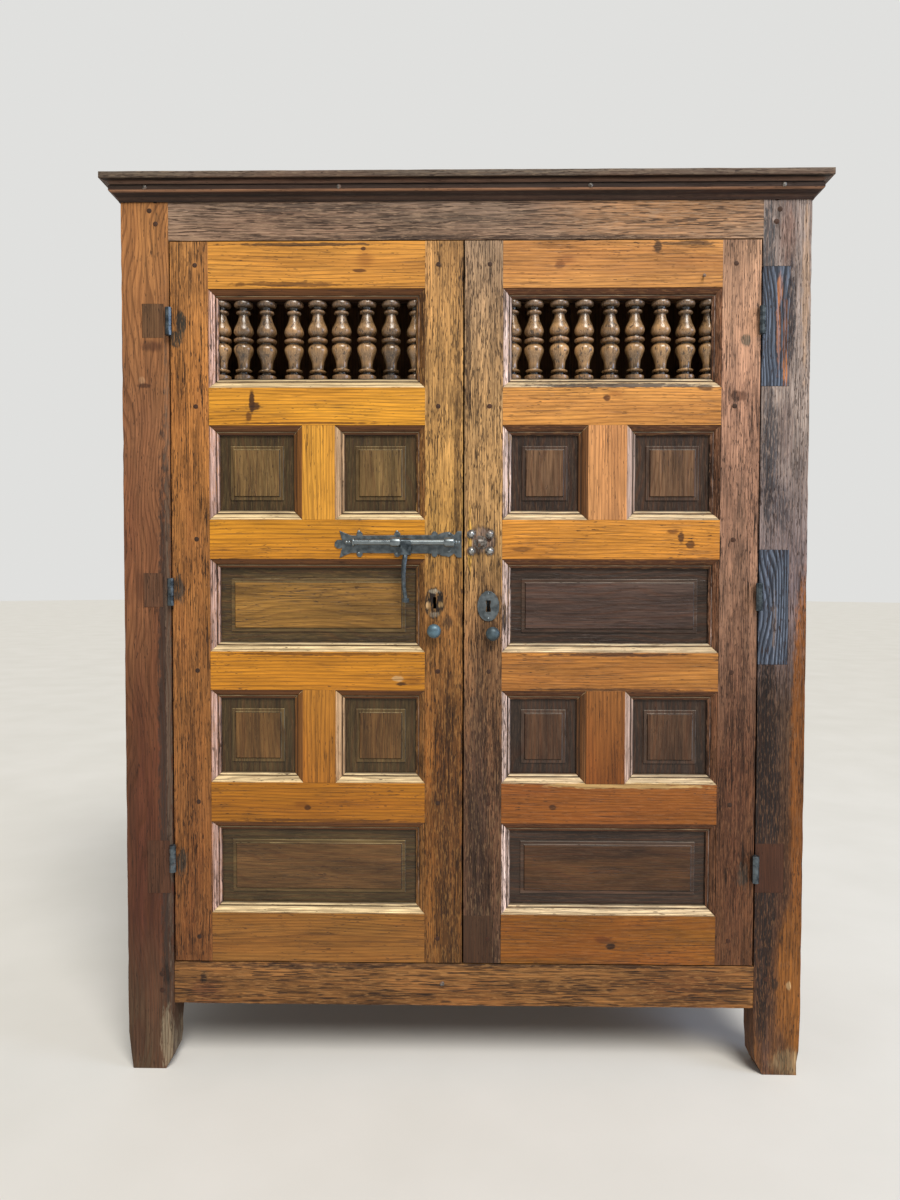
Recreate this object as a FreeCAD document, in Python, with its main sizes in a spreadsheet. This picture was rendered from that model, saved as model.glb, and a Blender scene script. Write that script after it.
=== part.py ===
"""Two-door storage cupboard in framed pine, with a turned grille and a slide bolt.

The frame is right-handed with +Z up, in millimetres. The origin is on the floor, below the
middle of the cornice's plan. The doors face -Y, and +X is to the right of a person who looks
at them.
"""
import FreeCAD, Part
import math
import os
import Sketcher

# Driving sizes in millimetres. Each becomes a named cell of the spreadsheet.
SIZES = {
    # case
    "opening_width": 1120,
    "case_depth": 500,
    "front_post_width": 90,
    "front_post_depth": 58,
    "rear_post_width": 60,
    "rear_post_depth": 58,
    "foot_clear": 130,
    "foot_wear_width": 10,
    "foot_wear_height": 26,
    "base_rail_height": 82,
    "crown_rail_height": 105,
    "side_rail_height": 95,
    "side_rail_thickness": 30,
    "rail_tenon_length": 52,
    "rail_tenon_thickness": 16,
    "rail_tenon_inset": 12,
    "rail_tenon_depth": 21,
    "side_board_thickness": 16,
    "back_board_thickness": 14,
    "floor_board_thickness": 20,
    "top_board_thickness": 12,
    "board_gap": 1,
    "cleat_width": 22,
    "cleat_height": 30,
    "shelf_pitch": 330,
    "shelf_setback": 3,
    # cornice
    "cornice_reach": 30,
    "cornice_height": 34.2,
    "cornice_nail_radius": 4.5,
    "cornice_nail_height": 2,
    # doors
    "door_play": 2,
    "hinge_gap": 3,
    "meeting_gap": 3,
    "door_thickness": 45,
    "closing_bevel": 3,
    "stile_face": 72,
    "foot_rail_face": 94.5,
    "lower_rail_face": 76.5,
    "middle_rail_face": 73.5,
    "bolt_rail_face": 74.5,
    "grille_rail_face": 71,
    "top_rail_face": 88,
    "wide_row": 178,
    "small_row": 179,
    "grille_row": 186,
    "left_muntin_face": 63,
    "right_muntin_face": 74,
    "left_muntin_shift": 3,
    "right_muntin_shift": 7,
    # stuck moulding and groove
    "lip": 18,
    "quirk": 2,
    "arris_depth": 11,
    "groove_front": 15,
    "groove_width": 9,
    "groove_depth": 10,
    "door_tenon_front": 16,
    "door_tenon_thickness": 12,
    "door_tenon_inset": 10,
    "muntin_tenon": 22,
    "panel_play": 1.5,
    "panel_margin": 20,
    "panel_bead": 5,
    "panel_bead_rise": 2.4,
    "panel_step": 3,
    "panel_rise": 5,
    # turned grille
    "baluster_radius": 17,
    "baluster_depth": 28,
    "baluster_pin": 8,
    # pegs
    "peg_radius": 5,
    "peg_inset": 25,
    "post_peg_inset": 24,
    # hinges
    "hinge_length": 52,
    "knuckle_radius": 6.5,
    "hinge_pin_radius": 2.6,
    "pin_fit": 0.02,
    "hinge_leaf_width": 32,
    "hinge_leaf_thickness": 1.2,
    "hinge_proud": 7,
    "running_gap": 0.35,
    "left_upper_hinge": 1441,
    "left_middle_hinge": 930,
    "left_lower_hinge": 416,
    "right_upper_hinge": 1441,
    "right_middle_hinge": 923,
    "right_lower_hinge": 403,
    "patch_depth": 6,
    # slide bolt
    "bolt_drop": 5.75,
    "bolt_plate_length": 240,
    "bolt_plate_height": 37,
    "bolt_plate_drop": 3.5,
    "bolt_plate_thickness": 2,
    "bolt_plate_inset": 3.5,
    "bolt_plate_end_radius": 9,
    "bolt_axis_rise": 9,
    "bolt_rod_radius": 5.3,
    "bolt_rod_length": 220,
    "bolt_rod_inset": 5,
    "staple_radius": 8.6,
    "staple_length": 19,
    "inner_staple_inset": 129,
    "outer_staple_inset": 27,
    "handle_inset": 109,
    "handle_block_width": 19,
    "handle_block_drop": 24,
    "handle_block_front": 9,
    "handle_barrel_radius": 7.6,
    "handle_bar_radius": 5.2,
    "handle_drop": 114,
    "handle_bow": 9,
    "handle_lean": 4,
    "handle_foot_radius": 7,
    "handle_foot_height": 8,
    "keeper_inset": 32.5,
    "keeper_width": 35,
    "keeper_height": 32,
    "keeper_lobe_radius": 9,
    "keeper_eye_radius": 10,
    "keeper_eye_length": 10,
    "keeper_eye_clearance": 2.4,
    "keeper_nail_radius": 6.5,
    "keeper_nail_height": 5,
    # locks and knobs
    "escutcheon_width": 42,
    "escutcheon_height": 58,
    "escutcheon_thickness": 2,
    "right_keyhole_inset": 47.5,
    "right_keyhole_drop": 121,
    "left_keyhole_inset": 54.8,
    "left_keyhole_drop": 115,
    "keyhole_width": 6,
    "keyhole_length": 22,
    "knob_inset": 55.5,
    "left_knob_drop": 53,
    "right_knob_drop": 52,
    "knob_radius": 14,
    "knob_reach": 24,
    "lock_case_width": 84,
    "lock_case_height": 76,
    "lock_case_depth": 22,
    "lock_case_inset": 6,
    "lock_bolt_thickness": 10,
    "lock_bolt_height": 18,
    "lock_bolt_length": 50,
    "lock_bolt_rise": 22,
    "lock_keeper_width": 26,
    "lock_keeper_wall": 4,
    "lock_keeper_clearance": 1,
}

# Outline of the stuck moulding: share of the lip across, share of the arris depth down.
MOULDING_SHARES = ((0.14, 0.20), (0.40, 0.36), (0.64, 0.80), (0.72, 0.76))
# Cornice outline, from its foot to its top: share of the reach, share of the height.
CORNICE_SHARES = ((0.08, 0), (0.12, 0.16), (0.30, 0.34), (0.52, 0.45), (0.57, 0.50),
                  (0.57, 0.76), (0.48, 0.80), (0.58, 0.93), (0.93, 1))
# Turned outline of a baluster from its foot: share of its length, share of its widest radius.
BALUSTER_SHARES = ((0, 1), (0.06, 1), (0.08, 0.5), (0.12, 0.84), (0.15, 0.56), (0.37, 1),
                   (0.46, 0.72), (0.50, 1), (0.54, 0.72), (0.66, 1), (0.83, 0.47),
                   (0.87, 0.78), (0.90, 0.46), (0.93, 1), (1, 1))
# Places of the whole balusters across each grille, set by hand and so a little uneven.
LEFT_BALUSTER_SHARES = (0.114, 0.233, 0.373, 0.495, 0.617, 0.747, 0.871)
RIGHT_BALUSTER_SHARES = (0.114, 0.243, 0.369, 0.501, 0.626, 0.758, 0.883)
# Old repairs let into the post beside each hinge, from the top down. As shares: gap from the
# post's inner edge and width, of the post's width; length and centre, of the hinge's length.
LEFT_PATCH_SHARES = ((0.11, 0.46, 1.23, 0.06), (0.18, 0.41, 1.25, 0.06), (0.07, 0.49, 1.98, -0.36))
RIGHT_PATCH_SHARES = ((0, 0.57, 4.29, -0.19), (0, 0.62, 4.19, -0.38), (0, 0.60, 1.83, 0))
# Repair at the foot of the right meeting stile: share of the stile's face, of the rail's face.
STILE_PATCH_SHARES = (0.76, 0.98)
CORNICE_NAIL_SHARES = (-0.46, -0.18, 0.18, 0.455)
# Upper edge of the bolt's plate: share of its length from the meeting edge, share of half its
# height. The lower edge mirrors it.
PLATE_SHARES = ((0, 1.35), (0.035, 1.35), (0.06, 0.95), (0.10, 1.3), (0.15, 1.2), (0.20, 0.95),
                (0.88, 0.9), (0.97, 1.4), (0.95, 0.4))
# Round ears of the plate: share of its length from the meeting edge.
EAR_SHARES = (0.215, 0.51, 0.81)
# Turned outline of the bolt from its left tip: share of its length, share of its radius.
ROD_SHARES = ((0, 0.3), (0.02, 0.7), (0.045, 0.4), (0.06, 1.6), (0.08, 1.6), (0.085, 0.6),
              (0.94, 0.6), (0.95, 0.5), (0.975, 0.75), (1, 0.3))
# Round length of the bolt between its turned ends: share of its length where it starts and ends.
ROUND_SHARES = (0.08, 0.93)
# Bar of the bolt's handle from the top down: share of its length, share of its radius, share of
# its bow.
BAR_SHARES = ((0, 1, 0), (0.25, 0.95, 0.75), (0.5, 0.85, 1), (0.75, 0.8, 0.75), (1, 0.75, 0))
# Turned outline of a knob from the door: share of its reach, share of its radius.
KNOB_SHARES = ((0, 0.36), (0.4, 0.36), (0.45, 0.92), (0.56, 1), (0.78, 0.86), (0.92, 0.55), (1, 0.2))
SIDE_BOARDS = 3
BACK_BOARDS = 7
FLOOR_BOARDS = 3
TOP_BOARDS = 4
SHELVES = 3
# Round forms are built of flats, and those that repeat most have the fewest.
TURNED_FLATS = 8
KNUCKLE_FLATS = 8
IRON_FLATS = 10
DISC_FLATS = 8
PEG_FLATS = 4
NAIL_FLATS = 6
OVAL_FLATS = 20
LEFT = -1
RIGHT = 1

doc = FreeCAD.newDocument("Cupboard")
sheet = doc.addObject("Spreadsheet::Sheet", "Sizes")


class Size:
    """A length that carries its number and the spreadsheet expression behind it."""

    def __init__(self, value, text):
        self.value = value
        self.text = text

    def __add__(self, other):
        other = as_size(other)
        return Size(self.value + other.value, f"({self.text} + {other.text})")

    def __sub__(self, other):
        other = as_size(other)
        return Size(self.value - other.value, f"({self.text} - {other.text})")

    def __mul__(self, share):
        return Size(self.value * share, f"({self.text} * {share})")

    def __truediv__(self, share):
        return Size(self.value / share, f"({self.text} / {share})")

    def __neg__(self):
        return self * -1

    __radd__ = __add__
    __rmul__ = __mul__


def as_size(value):
    """Return a Size for a Size or for plain zero."""
    return value if isinstance(value, Size) else Size(value, str(value))


def fill_sheet():
    """Write each driving size to its own named cell and return them as Size objects."""
    named = {}
    for row, (name, value) in enumerate(SIZES.items(), start=1):
        sheet.set(f"A{row}", name)
        sheet.set(f"B{row}", str(value))
        sheet.setAlias(f"B{row}", name)
        named[name] = Size(value, f"Sizes.{name}")
    doc.recompute()
    return type("Sizes", (), named)


S = fill_sheet()
ZERO = Size(0, "0")
ACROSS = FreeCAD.Vector(1, 0, 0)
OUTWARD = FreeCAD.Vector(0, -1, 0)
nodes = []


def bind(thing, prop, size):
    """Set a property to a Size and keep it tied to the spreadsheet."""
    thing.setExpression(prop, as_size(size).text)


def place(thing, x=ZERO, y=ZERO, z=ZERO):
    """Tie the position of an object to the spreadsheet."""
    bind(thing, "Placement.Base.x", x)
    bind(thing, "Placement.Base.y", y)
    bind(thing, "Placement.Base.z", z)


def keep(thing, label):
    """Name an object as a node, which is exported under its label."""
    thing.Label = label
    nodes.append(thing)
    return thing


def group(label, things):
    """Put several separate solids into one node."""
    compound = doc.addObject("Part::Compound", label)
    compound.Links = things
    return keep(compound, label)


def box(name, low, high):
    """Make a box between two opposite corners, in any order of their X values."""
    if low[0].value > high[0].value:
        low, high = (high[0], low[1], low[2]), (low[0], high[1], high[2])
    block = doc.addObject("Part::Box", name)
    place(block, *low)
    bind(block, "Length", high[0] - low[0])
    bind(block, "Width", high[1] - low[1])
    bind(block, "Height", high[2] - low[2])
    return block


def sketch_on(body, name, role, loops, offset=None):
    """Draw closed loops of straight lines on an origin plane, every corner tied to the sheet."""
    sketch = body.newObject("Sketcher::SketchObject", name)
    plane = next(item for item in body.Origin.OriginFeatures if item.Role == role)
    sketch.AttachmentSupport = [(plane, "")]
    sketch.MapMode = "FlatFace"
    if offset is not None:
        bind(sketch, "AttachmentOffset.Base.z", offset)
    lines, joins, rules, sizes = [], [], [], []
    for loop in loops:
        first = len(lines)
        count = len(loop)
        corners = [(as_size(x), as_size(y)) for x, y in loop]
        vectors = [FreeCAD.Vector(x.value, y.value, 0) for x, y in corners]
        for index, (x, y) in enumerate(corners):
            line = first + index
            after = (index + 1) % count
            lines.append(Part.LineSegment(vectors[index], vectors[after]))
            joins.append(Sketcher.Constraint("Coincident", line, 2, first + after, 1))
            rules.append(Sketcher.Constraint("DistanceX", -1, 1, line, 1, x.value))
            rules.append(Sketcher.Constraint("DistanceY", -1, 1, line, 1, y.value))
            sizes += [x, y]
    sketch.addGeometry(lines)
    sketch.addConstraint(joins + rules)
    for number, size in enumerate(sizes, start=len(joins)):
        bind(sketch, f"Constraints[{number}]", size)
    return sketch


def pad(body, sketch, length, reverse=False, both_ways=False):
    """Extrude a sketch by a bound length."""
    feature = body.newObject("PartDesign::Pad", f"{body.Name}Pad")
    feature.Profile = sketch
    feature.Reversed = reverse
    feature.Midplane = both_ways
    bind(feature, "Length", length)
    return feature


def cut_through(body, sketch, reverse=False, both_ways=True):
    """Cut a sketch right through the body."""
    feature = body.newObject("PartDesign::Pocket", f"{body.Name}Pocket")
    feature.Profile = sketch
    feature.Type = "ThroughAll"
    feature.Midplane = both_ways
    feature.Reversed = reverse
    return feature


def cut_depth(body, sketch, depth, reverse=False):
    """Cut a sketch to a bound depth."""
    feature = cut_through(body, sketch, reverse, both_ways=False)
    feature.Type = "Length"
    bind(feature, "Length", depth)
    return feature


def rectangle(x0, y0, x1, y1):
    """Return the four corners of a rectangle."""
    return [(x0, y0), (x1, y0), (x1, y1), (x0, y1)]


def ring_points(radius, height, flats, shift_x=0, shift_y=0):
    """Return the corners of one flat-sided ring about the Z axis."""
    turns = [2 * math.pi * (flat + 0.5) / flats for flat in range(flats)]
    return [FreeCAD.Vector(radius * math.cos(a) + shift_x, radius * math.sin(a) + shift_y, height)
            for a in turns]


def loft(rings):
    """Return a solid of flat faces through rings that all have the same number of corners."""
    faces = [Part.Face(Part.makePolygon(ring + ring[:1])) for ring in (rings[0], rings[-1])]
    for low, high in zip(rings, rings[1:]):
        for flat in range(len(low)):
            after = (flat + 1) % len(low)
            corners = [low[flat], low[after], high[after], high[flat], low[flat]]
            faces.append(Part.Face(Part.makePolygon(corners)))
    solid = Part.Solid(Part.Shell(faces))
    if solid.Volume < 0:
        solid.reverse()
    return solid


def faceted(profile, flats):
    """Return a solid of flat-sided rings about the Z axis, from (height, radius) pairs."""
    return loft([ring_points(radius, height, flats) for height, radius in profile])


def faceted_along(profile, flats, start, axis):
    """Return a solid of flat-sided rings from a start point along any axis."""
    solid = faceted(profile, flats)
    turn = FreeCAD.Rotation(FreeCAD.Vector(0, 0, 1), axis)
    solid.Placement = FreeCAD.Placement(start, turn)
    return solid


def round_bore(clearance, length, start, axis):
    """Return a flat-sided tool whose flats stay a clearance away from the round bolt."""
    clear = (S.bolt_rod_radius.value + clearance) / math.cos(math.pi / IRON_FLATS)
    return faceted_along([(0, clear), (length, clear)], IRON_FLATS, start, axis)


def shape_node(label, solids):
    """Keep shapes that Part's own functions made as one node."""
    feature = doc.addObject("Part::Feature", label)
    feature.Shape = solids[0] if len(solids) == 1 else Part.makeCompound(solids)
    return keep(feature, label)


# Places shared by the case and the doors.
FRONT = (S.cornice_reach - S.case_depth) / 2
REAR = (S.cornice_reach + S.case_depth) / 2
OPENING_HALF = S.opening_width / 2
CASE_HALF = OPENING_HALF + S.front_post_width
DOOR_FOOT = S.foot_clear + S.base_rail_height + S.door_play
DOOR_WIDTH = OPENING_HALF - S.hinge_gap - S.meeting_gap / 2
RAIL_LENGTH = DOOR_WIDTH - S.stile_face * 2
# Rails and openings of a door from the bottom up. An opening lies above each rail but the last.
RAILS = (("foot_rail", S.foot_rail_face, S.wide_row), ("lower_rail", S.lower_rail_face, S.small_row),
         ("middle_rail", S.middle_rail_face, S.wide_row), ("bolt_rail", S.bolt_rail_face, S.small_row),
         ("grille_rail", S.grille_rail_face, S.grille_row), ("top_rail", S.top_rail_face, ZERO))


def rail_bottoms():
    """Return the height of each rail's lower face edge above the door's foot, and the top."""
    heights = []
    level = ZERO
    for _, face, row in RAILS:
        heights.append(level)
        level = level + face + row
    return heights, level


RAIL_BOTTOMS, DOOR_HEIGHT = rail_bottoms()
CROWN_RAIL_FOOT = DOOR_FOOT + DOOR_HEIGHT + S.door_play
POST_TOP = CROWN_RAIL_FOOT + S.crown_rail_height
CORNICE_FOOT = POST_TOP - S.cornice_height
INNER_Y0 = FRONT + S.front_post_depth
INNER_Y1 = REAR - S.rear_post_depth
FLOOR_TOP = S.foot_clear + S.base_rail_height
SIDE_INNER = CASE_HALF - S.side_rail_thickness - S.side_board_thickness
BOARD_FOOT = FLOOR_TOP - S.floor_board_thickness - S.cleat_height
# The pegs are blind, and end at the far face of the tenons that they hold.
FRAME_PEG_LENGTH = S.rail_tenon_depth + S.rail_tenon_thickness
DOOR_PEG_LENGTH = S.door_tenon_front + S.door_tenon_thickness
# The bolt sits on its rail, the keyholes below the bolt and the knobs below the keyholes.
BOLT_RAIL = 3
BOLT_HEIGHT = DOOR_FOOT + RAIL_BOTTOMS[BOLT_RAIL] + RAILS[BOLT_RAIL][1] / 2 - S.bolt_drop
LEFT_KEYHOLE_HEIGHT = BOLT_HEIGHT - S.left_keyhole_drop
RIGHT_KEYHOLE_HEIGHT = BOLT_HEIGHT - S.right_keyhole_drop
HINGES = {LEFT: (S.left_upper_hinge, S.left_middle_hinge, S.left_lower_hinge),
          RIGHT: (S.right_upper_hinge, S.right_middle_hinge, S.right_lower_hinge)}
PATCHES = {LEFT: LEFT_PATCH_SHARES, RIGHT: RIGHT_PATCH_SHARES}
WORDS = {LEFT: "left", RIGHT: "right"}


def patch_edges(side, hinge, shares):
    """Return the X and Z edges of one repair in a front post."""
    gap_share, width_share, length_share, shift_share = shares
    inner = OPENING_HALF + S.front_post_width * gap_share
    outer = inner + S.front_post_width * width_share
    middle = hinge + S.hinge_length * shift_share
    half = S.hinge_length * (length_share / 2)
    return inner * side, middle - half, outer * side, middle + half


def front_rail_levels():
    """Return name, foot and height of the two front rails of the case."""
    return (("front_bottom_rail", S.foot_clear, S.base_rail_height),
            ("front_top_rail", CROWN_RAIL_FOOT, S.crown_rail_height))


def peg_outline(x, z):
    """Return the corners of the flat-sided hole that a peg fills."""
    turns = [2 * math.pi * (flat + 0.5) / PEG_FLATS for flat in range(PEG_FLATS)]
    return [(x + S.peg_radius * round(math.cos(a), 6), z + S.peg_radius * round(math.sin(a), 6))
            for a in turns]


def post_pegs(side):
    """Return the X and Z places of the pegs in one front post."""
    spots = []
    for _, foot, height in front_rail_levels():
        for share in (0.3, 0.7):
            spots.append(((OPENING_HALF + S.post_peg_inset) * side, foot + height * share))
    return spots


def front_post(side):
    """Build a front post with worn foot, rail mortises, peg holes and repair recesses."""
    label = f"front_post_{WORDS[side]}"
    body = doc.addObject("PartDesign::Body", label)
    inner, outer = OPENING_HALF * side, CASE_HALF * side
    plan = rectangle(inner, ZERO, outer, S.front_post_depth)
    pad(body, sketch_on(body, "Plan", "XY_Plane", [plan]), POST_TOP)
    wear = [(inner, ZERO), ((OPENING_HALF + S.foot_wear_width) * side, ZERO),
            (inner, S.foot_wear_height)]
    cut_through(body, sketch_on(body, "FootWear", "XZ_Plane", [wear]))
    mortise_end = (OPENING_HALF + S.rail_tenon_length) * side
    for _, foot, height in front_rail_levels():
        slot = rectangle(inner, S.rail_tenon_depth, mortise_end,
                         S.rail_tenon_depth + S.rail_tenon_thickness)
        low = foot + S.rail_tenon_inset
        sketch = sketch_on(body, "Mortise", "XY_Plane", [slot], offset=low)
        cut_depth(body, sketch, height - S.rail_tenon_inset * 2, reverse=True)
    holes = [peg_outline(x, z) for x, z in post_pegs(side)]
    cut_depth(body, sketch_on(body, "PegHoles", "XZ_Plane", holes), FRAME_PEG_LENGTH)
    recesses = []
    for hinge, shares in zip(HINGES[side], PATCHES[side]):
        recesses.append(rectangle(*patch_edges(side, hinge, shares)))
    cut_depth(body, sketch_on(body, "Recesses", "XZ_Plane", recesses), S.patch_depth)
    place(body, y=FRONT)
    return keep(body, label)


def front_rail(label, foot, height):
    """Build a front rail of the case with a tenon at each end."""
    body = doc.addObject("PartDesign::Body", label)
    section = rectangle(ZERO, ZERO, S.front_post_depth, height)
    pad(body, sketch_on(body, "Section", "YZ_Plane", [section]), S.opening_width, both_ways=True)
    inset = S.rail_tenon_inset
    tenon = rectangle(S.rail_tenon_depth, inset, S.rail_tenon_depth + S.rail_tenon_thickness,
                      height - inset)
    pad(body, sketch_on(body, "Tenon", "YZ_Plane", [tenon]),
        S.opening_width + S.rail_tenon_length * 2, both_ways=True)
    holes = [peg_outline(x, z - foot) for side in (LEFT, RIGHT) for x, z in post_pegs(side)
             if foot.value < z.value < (foot + height).value]
    cut_depth(body, sketch_on(body, "PegHoles", "XZ_Plane", holes), FRAME_PEG_LENGTH)
    place(body, y=FRONT, z=foot)
    return keep(body, label)


def pegs(label, spots, length):
    """Build flat-sided pegs driven in from the front."""
    made = []
    for x, z in spots:
        body = doc.addObject("PartDesign::Body", "Peg")
        outline = peg_outline(x, z)
        pad(body, sketch_on(body, "Outline", "XZ_Plane", [outline]), length, reverse=True)
        place(body, y=FRONT)
        made.append(body)
    return group(label, made)


def repairs():
    """Build the blocks that fill the recesses of both front posts."""
    made = []
    for side in (LEFT, RIGHT):
        for hinge, shares in zip(HINGES[side], PATCHES[side]):
            x0, z0, x1, z1 = patch_edges(side, hinge, shares)
            made.append(box("Patch", (x0, FRONT, z0), (x1, FRONT + S.patch_depth, z1)))
    return group("post_patches", made)


def case_frame():
    """Build the posts and rails of the case."""
    for side in (LEFT, RIGHT):
        front_post(side)
    rear = [box("RearPost", (CASE_HALF * side, INNER_Y1, ZERO),
                ((CASE_HALF - S.rear_post_width) * side, REAR, POST_TOP))
            for side in (LEFT, RIGHT)]
    group("rear_posts", rear)
    for label, foot, height in front_rail_levels():
        front_rail(label, foot, height)
    levels = (BOARD_FOOT, (BOARD_FOOT + POST_TOP - S.side_rail_height) / 2,
              POST_TOP - S.side_rail_height)
    side_rails = [box("SideRail", (CASE_HALF * side, INNER_Y0, level),
                      ((CASE_HALF - S.side_rail_thickness) * side, INNER_Y1,
                       level + S.side_rail_height))
                  for side in (LEFT, RIGHT) for level in levels]
    group("side_rails", side_rails)
    rail_half = CASE_HALF - S.rear_post_width
    back_rails = [box("BackRail", (-rail_half, INNER_Y1 + S.back_board_thickness, level),
                      (rail_half, REAR, level + S.side_rail_height)) for level in levels]
    group("back_rails", back_rails)


def board_run(name, low, high, count, axis):
    """Split a box into boards side by side along an axis, with a gap between neighbours."""
    span = high[axis] - low[axis]
    width = (span - S.board_gap * (count - 1)) / count
    made = []
    for index in range(count):
        start, end = list(low), list(high)
        start[axis] = low[axis] + (width + S.board_gap) * index
        end[axis] = start[axis] + width
        made.append(box(name, tuple(start), tuple(end)))
    return made


def shelf_levels():
    """Return the underside height of the floor and of each shelf."""
    floor = FLOOR_TOP - S.floor_board_thickness
    return [floor + S.shelf_pitch * index for index in range(SHELVES + 1)]


def case_boards():
    """Build the boards of the sides, back, floor, shelves and top, and the shelf cleats."""
    boards = []
    for side in (LEFT, RIGHT):
        near = min(SIDE_INNER * side, (SIDE_INNER + S.side_board_thickness) * side,
                   key=lambda size: size.value)
        boards += board_run("SideBoard", (near, INNER_Y0, BOARD_FOOT),
                            (near + S.side_board_thickness, INNER_Y1, POST_TOP), SIDE_BOARDS, 1)
    group("side_boards", boards)
    half = CASE_HALF - S.rear_post_width
    group("back_boards", board_run("BackBoard", (-half, INNER_Y1, BOARD_FOOT),
                                   (half, INNER_Y1 + S.back_board_thickness, POST_TOP),
                                   BACK_BOARDS, 0))
    floor, *shelves = shelf_levels()
    group("floor_boards", board_run("FloorBoard", (-SIDE_INNER, INNER_Y0, floor),
                                    (SIDE_INNER, INNER_Y1, FLOOR_TOP), FLOOR_BOARDS, 1))
    planks = []
    shelf_front = FRONT + S.door_thickness + S.lock_case_depth + S.shelf_setback
    for level in shelves:
        planks += board_run("ShelfBoard", (-SIDE_INNER, shelf_front, level),
                            (SIDE_INNER, INNER_Y1, level + S.floor_board_thickness),
                            FLOOR_BOARDS, 1)
    group("shelf_boards", planks)
    cleats = [box("Cleat", (SIDE_INNER * side, INNER_Y0, level - S.cleat_height),
                  ((SIDE_INNER - S.cleat_width) * side, INNER_Y1, level))
              for side in (LEFT, RIGHT) for level in shelf_levels()]
    group("shelf_cleats", cleats)
    edge = CASE_HALF + S.cornice_reach
    group("top_boards", board_run("TopBoard", (-edge, FRONT - S.cornice_reach, POST_TOP),
                                  (edge, REAR, POST_TOP + S.top_board_thickness),
                                  TOP_BOARDS, 1))


def cornice_outline():
    """Return the cornice section as (distance out from the post, height) pairs."""
    points = [(ZERO, ZERO)]
    for out_share, up_share in CORNICE_SHARES:
        points.append((S.cornice_reach * out_share, S.cornice_height * up_share))
    points.append((ZERO, S.cornice_height))
    return points


def mitre_waste(length, ends):
    """Return triangles that mitre a moulding at the given ends, where +1 is the far end."""
    reach = S.cornice_reach
    waste = []
    for end in ends:
        corner = length / 2 * end
        tip = (length / 2 + reach) * end
        waste.append([(corner, ZERO), (tip, -reach), (tip, ZERO)])
    return waste


def cornice():
    """Build the cornice moulding, mitred round the two front corners."""
    front = doc.addObject("PartDesign::Body", "cornice_front")
    section = [(-out, up) for out, up in cornice_outline()]
    pad(front, sketch_on(front, "Section", "YZ_Plane", [section]),
        (CASE_HALF + S.cornice_reach) * 2, both_ways=True)
    waste = mitre_waste(CASE_HALF * 2, (LEFT, RIGHT))
    cut_through(front, sketch_on(front, "Mitres", "XY_Plane", waste))
    place(front, y=FRONT, z=CORNICE_FOOT)
    keep(front, "cornice_front")
    sides = []
    for side in (LEFT, RIGHT):
        body = doc.addObject("PartDesign::Body", "CorniceSide")
        section = [(out * side, up) for out, up in cornice_outline()]
        pad(body, sketch_on(body, "Section", "XZ_Plane", [section]),
            S.case_depth + S.cornice_reach, reverse=True)
        reach = S.cornice_reach
        triangle = [(ZERO, ZERO), (reach * side, ZERO), (ZERO, reach)]
        cut_through(body, sketch_on(body, "Mitre", "XY_Plane", [triangle]))
        place(body, CASE_HALF * side, FRONT - S.cornice_reach, CORNICE_FOOT)
        sides.append(body)
    group("cornice_sides", sides)
    nails = []
    fillet_share = CORNICE_SHARES[4]
    face = (FRONT - S.cornice_reach * fillet_share[0]).value
    height = (CORNICE_FOOT + S.cornice_height * 0.63).value
    for share in CORNICE_NAIL_SHARES:
        nail = nail_head(S.cornice_nail_radius.value, S.cornice_nail_height.value)
        nail.translate(FreeCAD.Vector((CASE_HALF * 2 * share).value, face, height))
        nails.append(nail)
    shape_node("cornice_nails", nails)


def nail_head(radius, height):
    """Return a hand-forged nail head that stands out towards -Y."""
    profile = [(0, radius), (height * 0.45, radius * 0.85), (height, radius * 0.35)]
    return faceted_along(profile, NAIL_FLATS, FreeCAD.Vector(0, 0, 0), OUTWARD)


def member_section(face, low_groove, high_groove, bevel=ZERO):
    """Return the section of a door member as (across, depth) pairs.

    Each groove is the depth of its front wall, or None where that edge has no moulding.
    """
    def lip(groove, edge, way):
        outline = [(edge, S.quirk)]
        for across_share, down_share in MOULDING_SHARES:
            outline.append((edge + S.lip * (across_share * way), S.arris_depth * down_share))
        tip = edge + S.lip * way
        bottom = tip - S.groove_depth * way
        outline += [(tip, S.arris_depth), (tip, groove), (bottom, groove),
                    (bottom, groove + S.groove_width), (tip, groove + S.groove_width),
                    (tip, S.door_thickness)]
        return outline

    section = [(ZERO, ZERO), (face, ZERO)]
    if high_groove is None:
        section.append((face, S.door_thickness))
    else:
        section += lip(high_groove, face, 1)
    if low_groove is None:
        section.append((bevel, S.door_thickness))
        if bevel is not ZERO:
            section.append((ZERO, S.door_tenon_front + S.door_tenon_thickness))
    else:
        section += reversed(lip(low_groove, ZERO, -1))
    return section


def crossing_waste(start, end, edge, way, open_low=True, open_high=True):
    """Return the trapezium cut out of a moulding where another member's face meets it."""
    tip = edge + S.lip * way
    low_tip = start - S.lip if open_low else start
    high_tip = end + S.lip if open_high else end
    return [(start, edge), (end, edge), (high_tip, tip), (low_tip, tip)]


def end_mitres(length, edge, way):
    """Return the triangles that mitre a moulding at both ends of a member."""
    tip = edge + S.lip * way
    return [[(ZERO, edge), (ZERO, tip), (S.lip, tip)],
            [(length, edge), (length, tip), (length - S.lip, tip)]]


def swap(loops):
    """Exchange the two coordinates of each point."""
    return [[(b, a) for a, b in loop] for loop in loops]


def door_edges(side):
    """Return X of a door's hinge edge and of its meeting edge."""
    return (OPENING_HALF - S.hinge_gap) * side, S.meeting_gap / 2 * side


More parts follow.
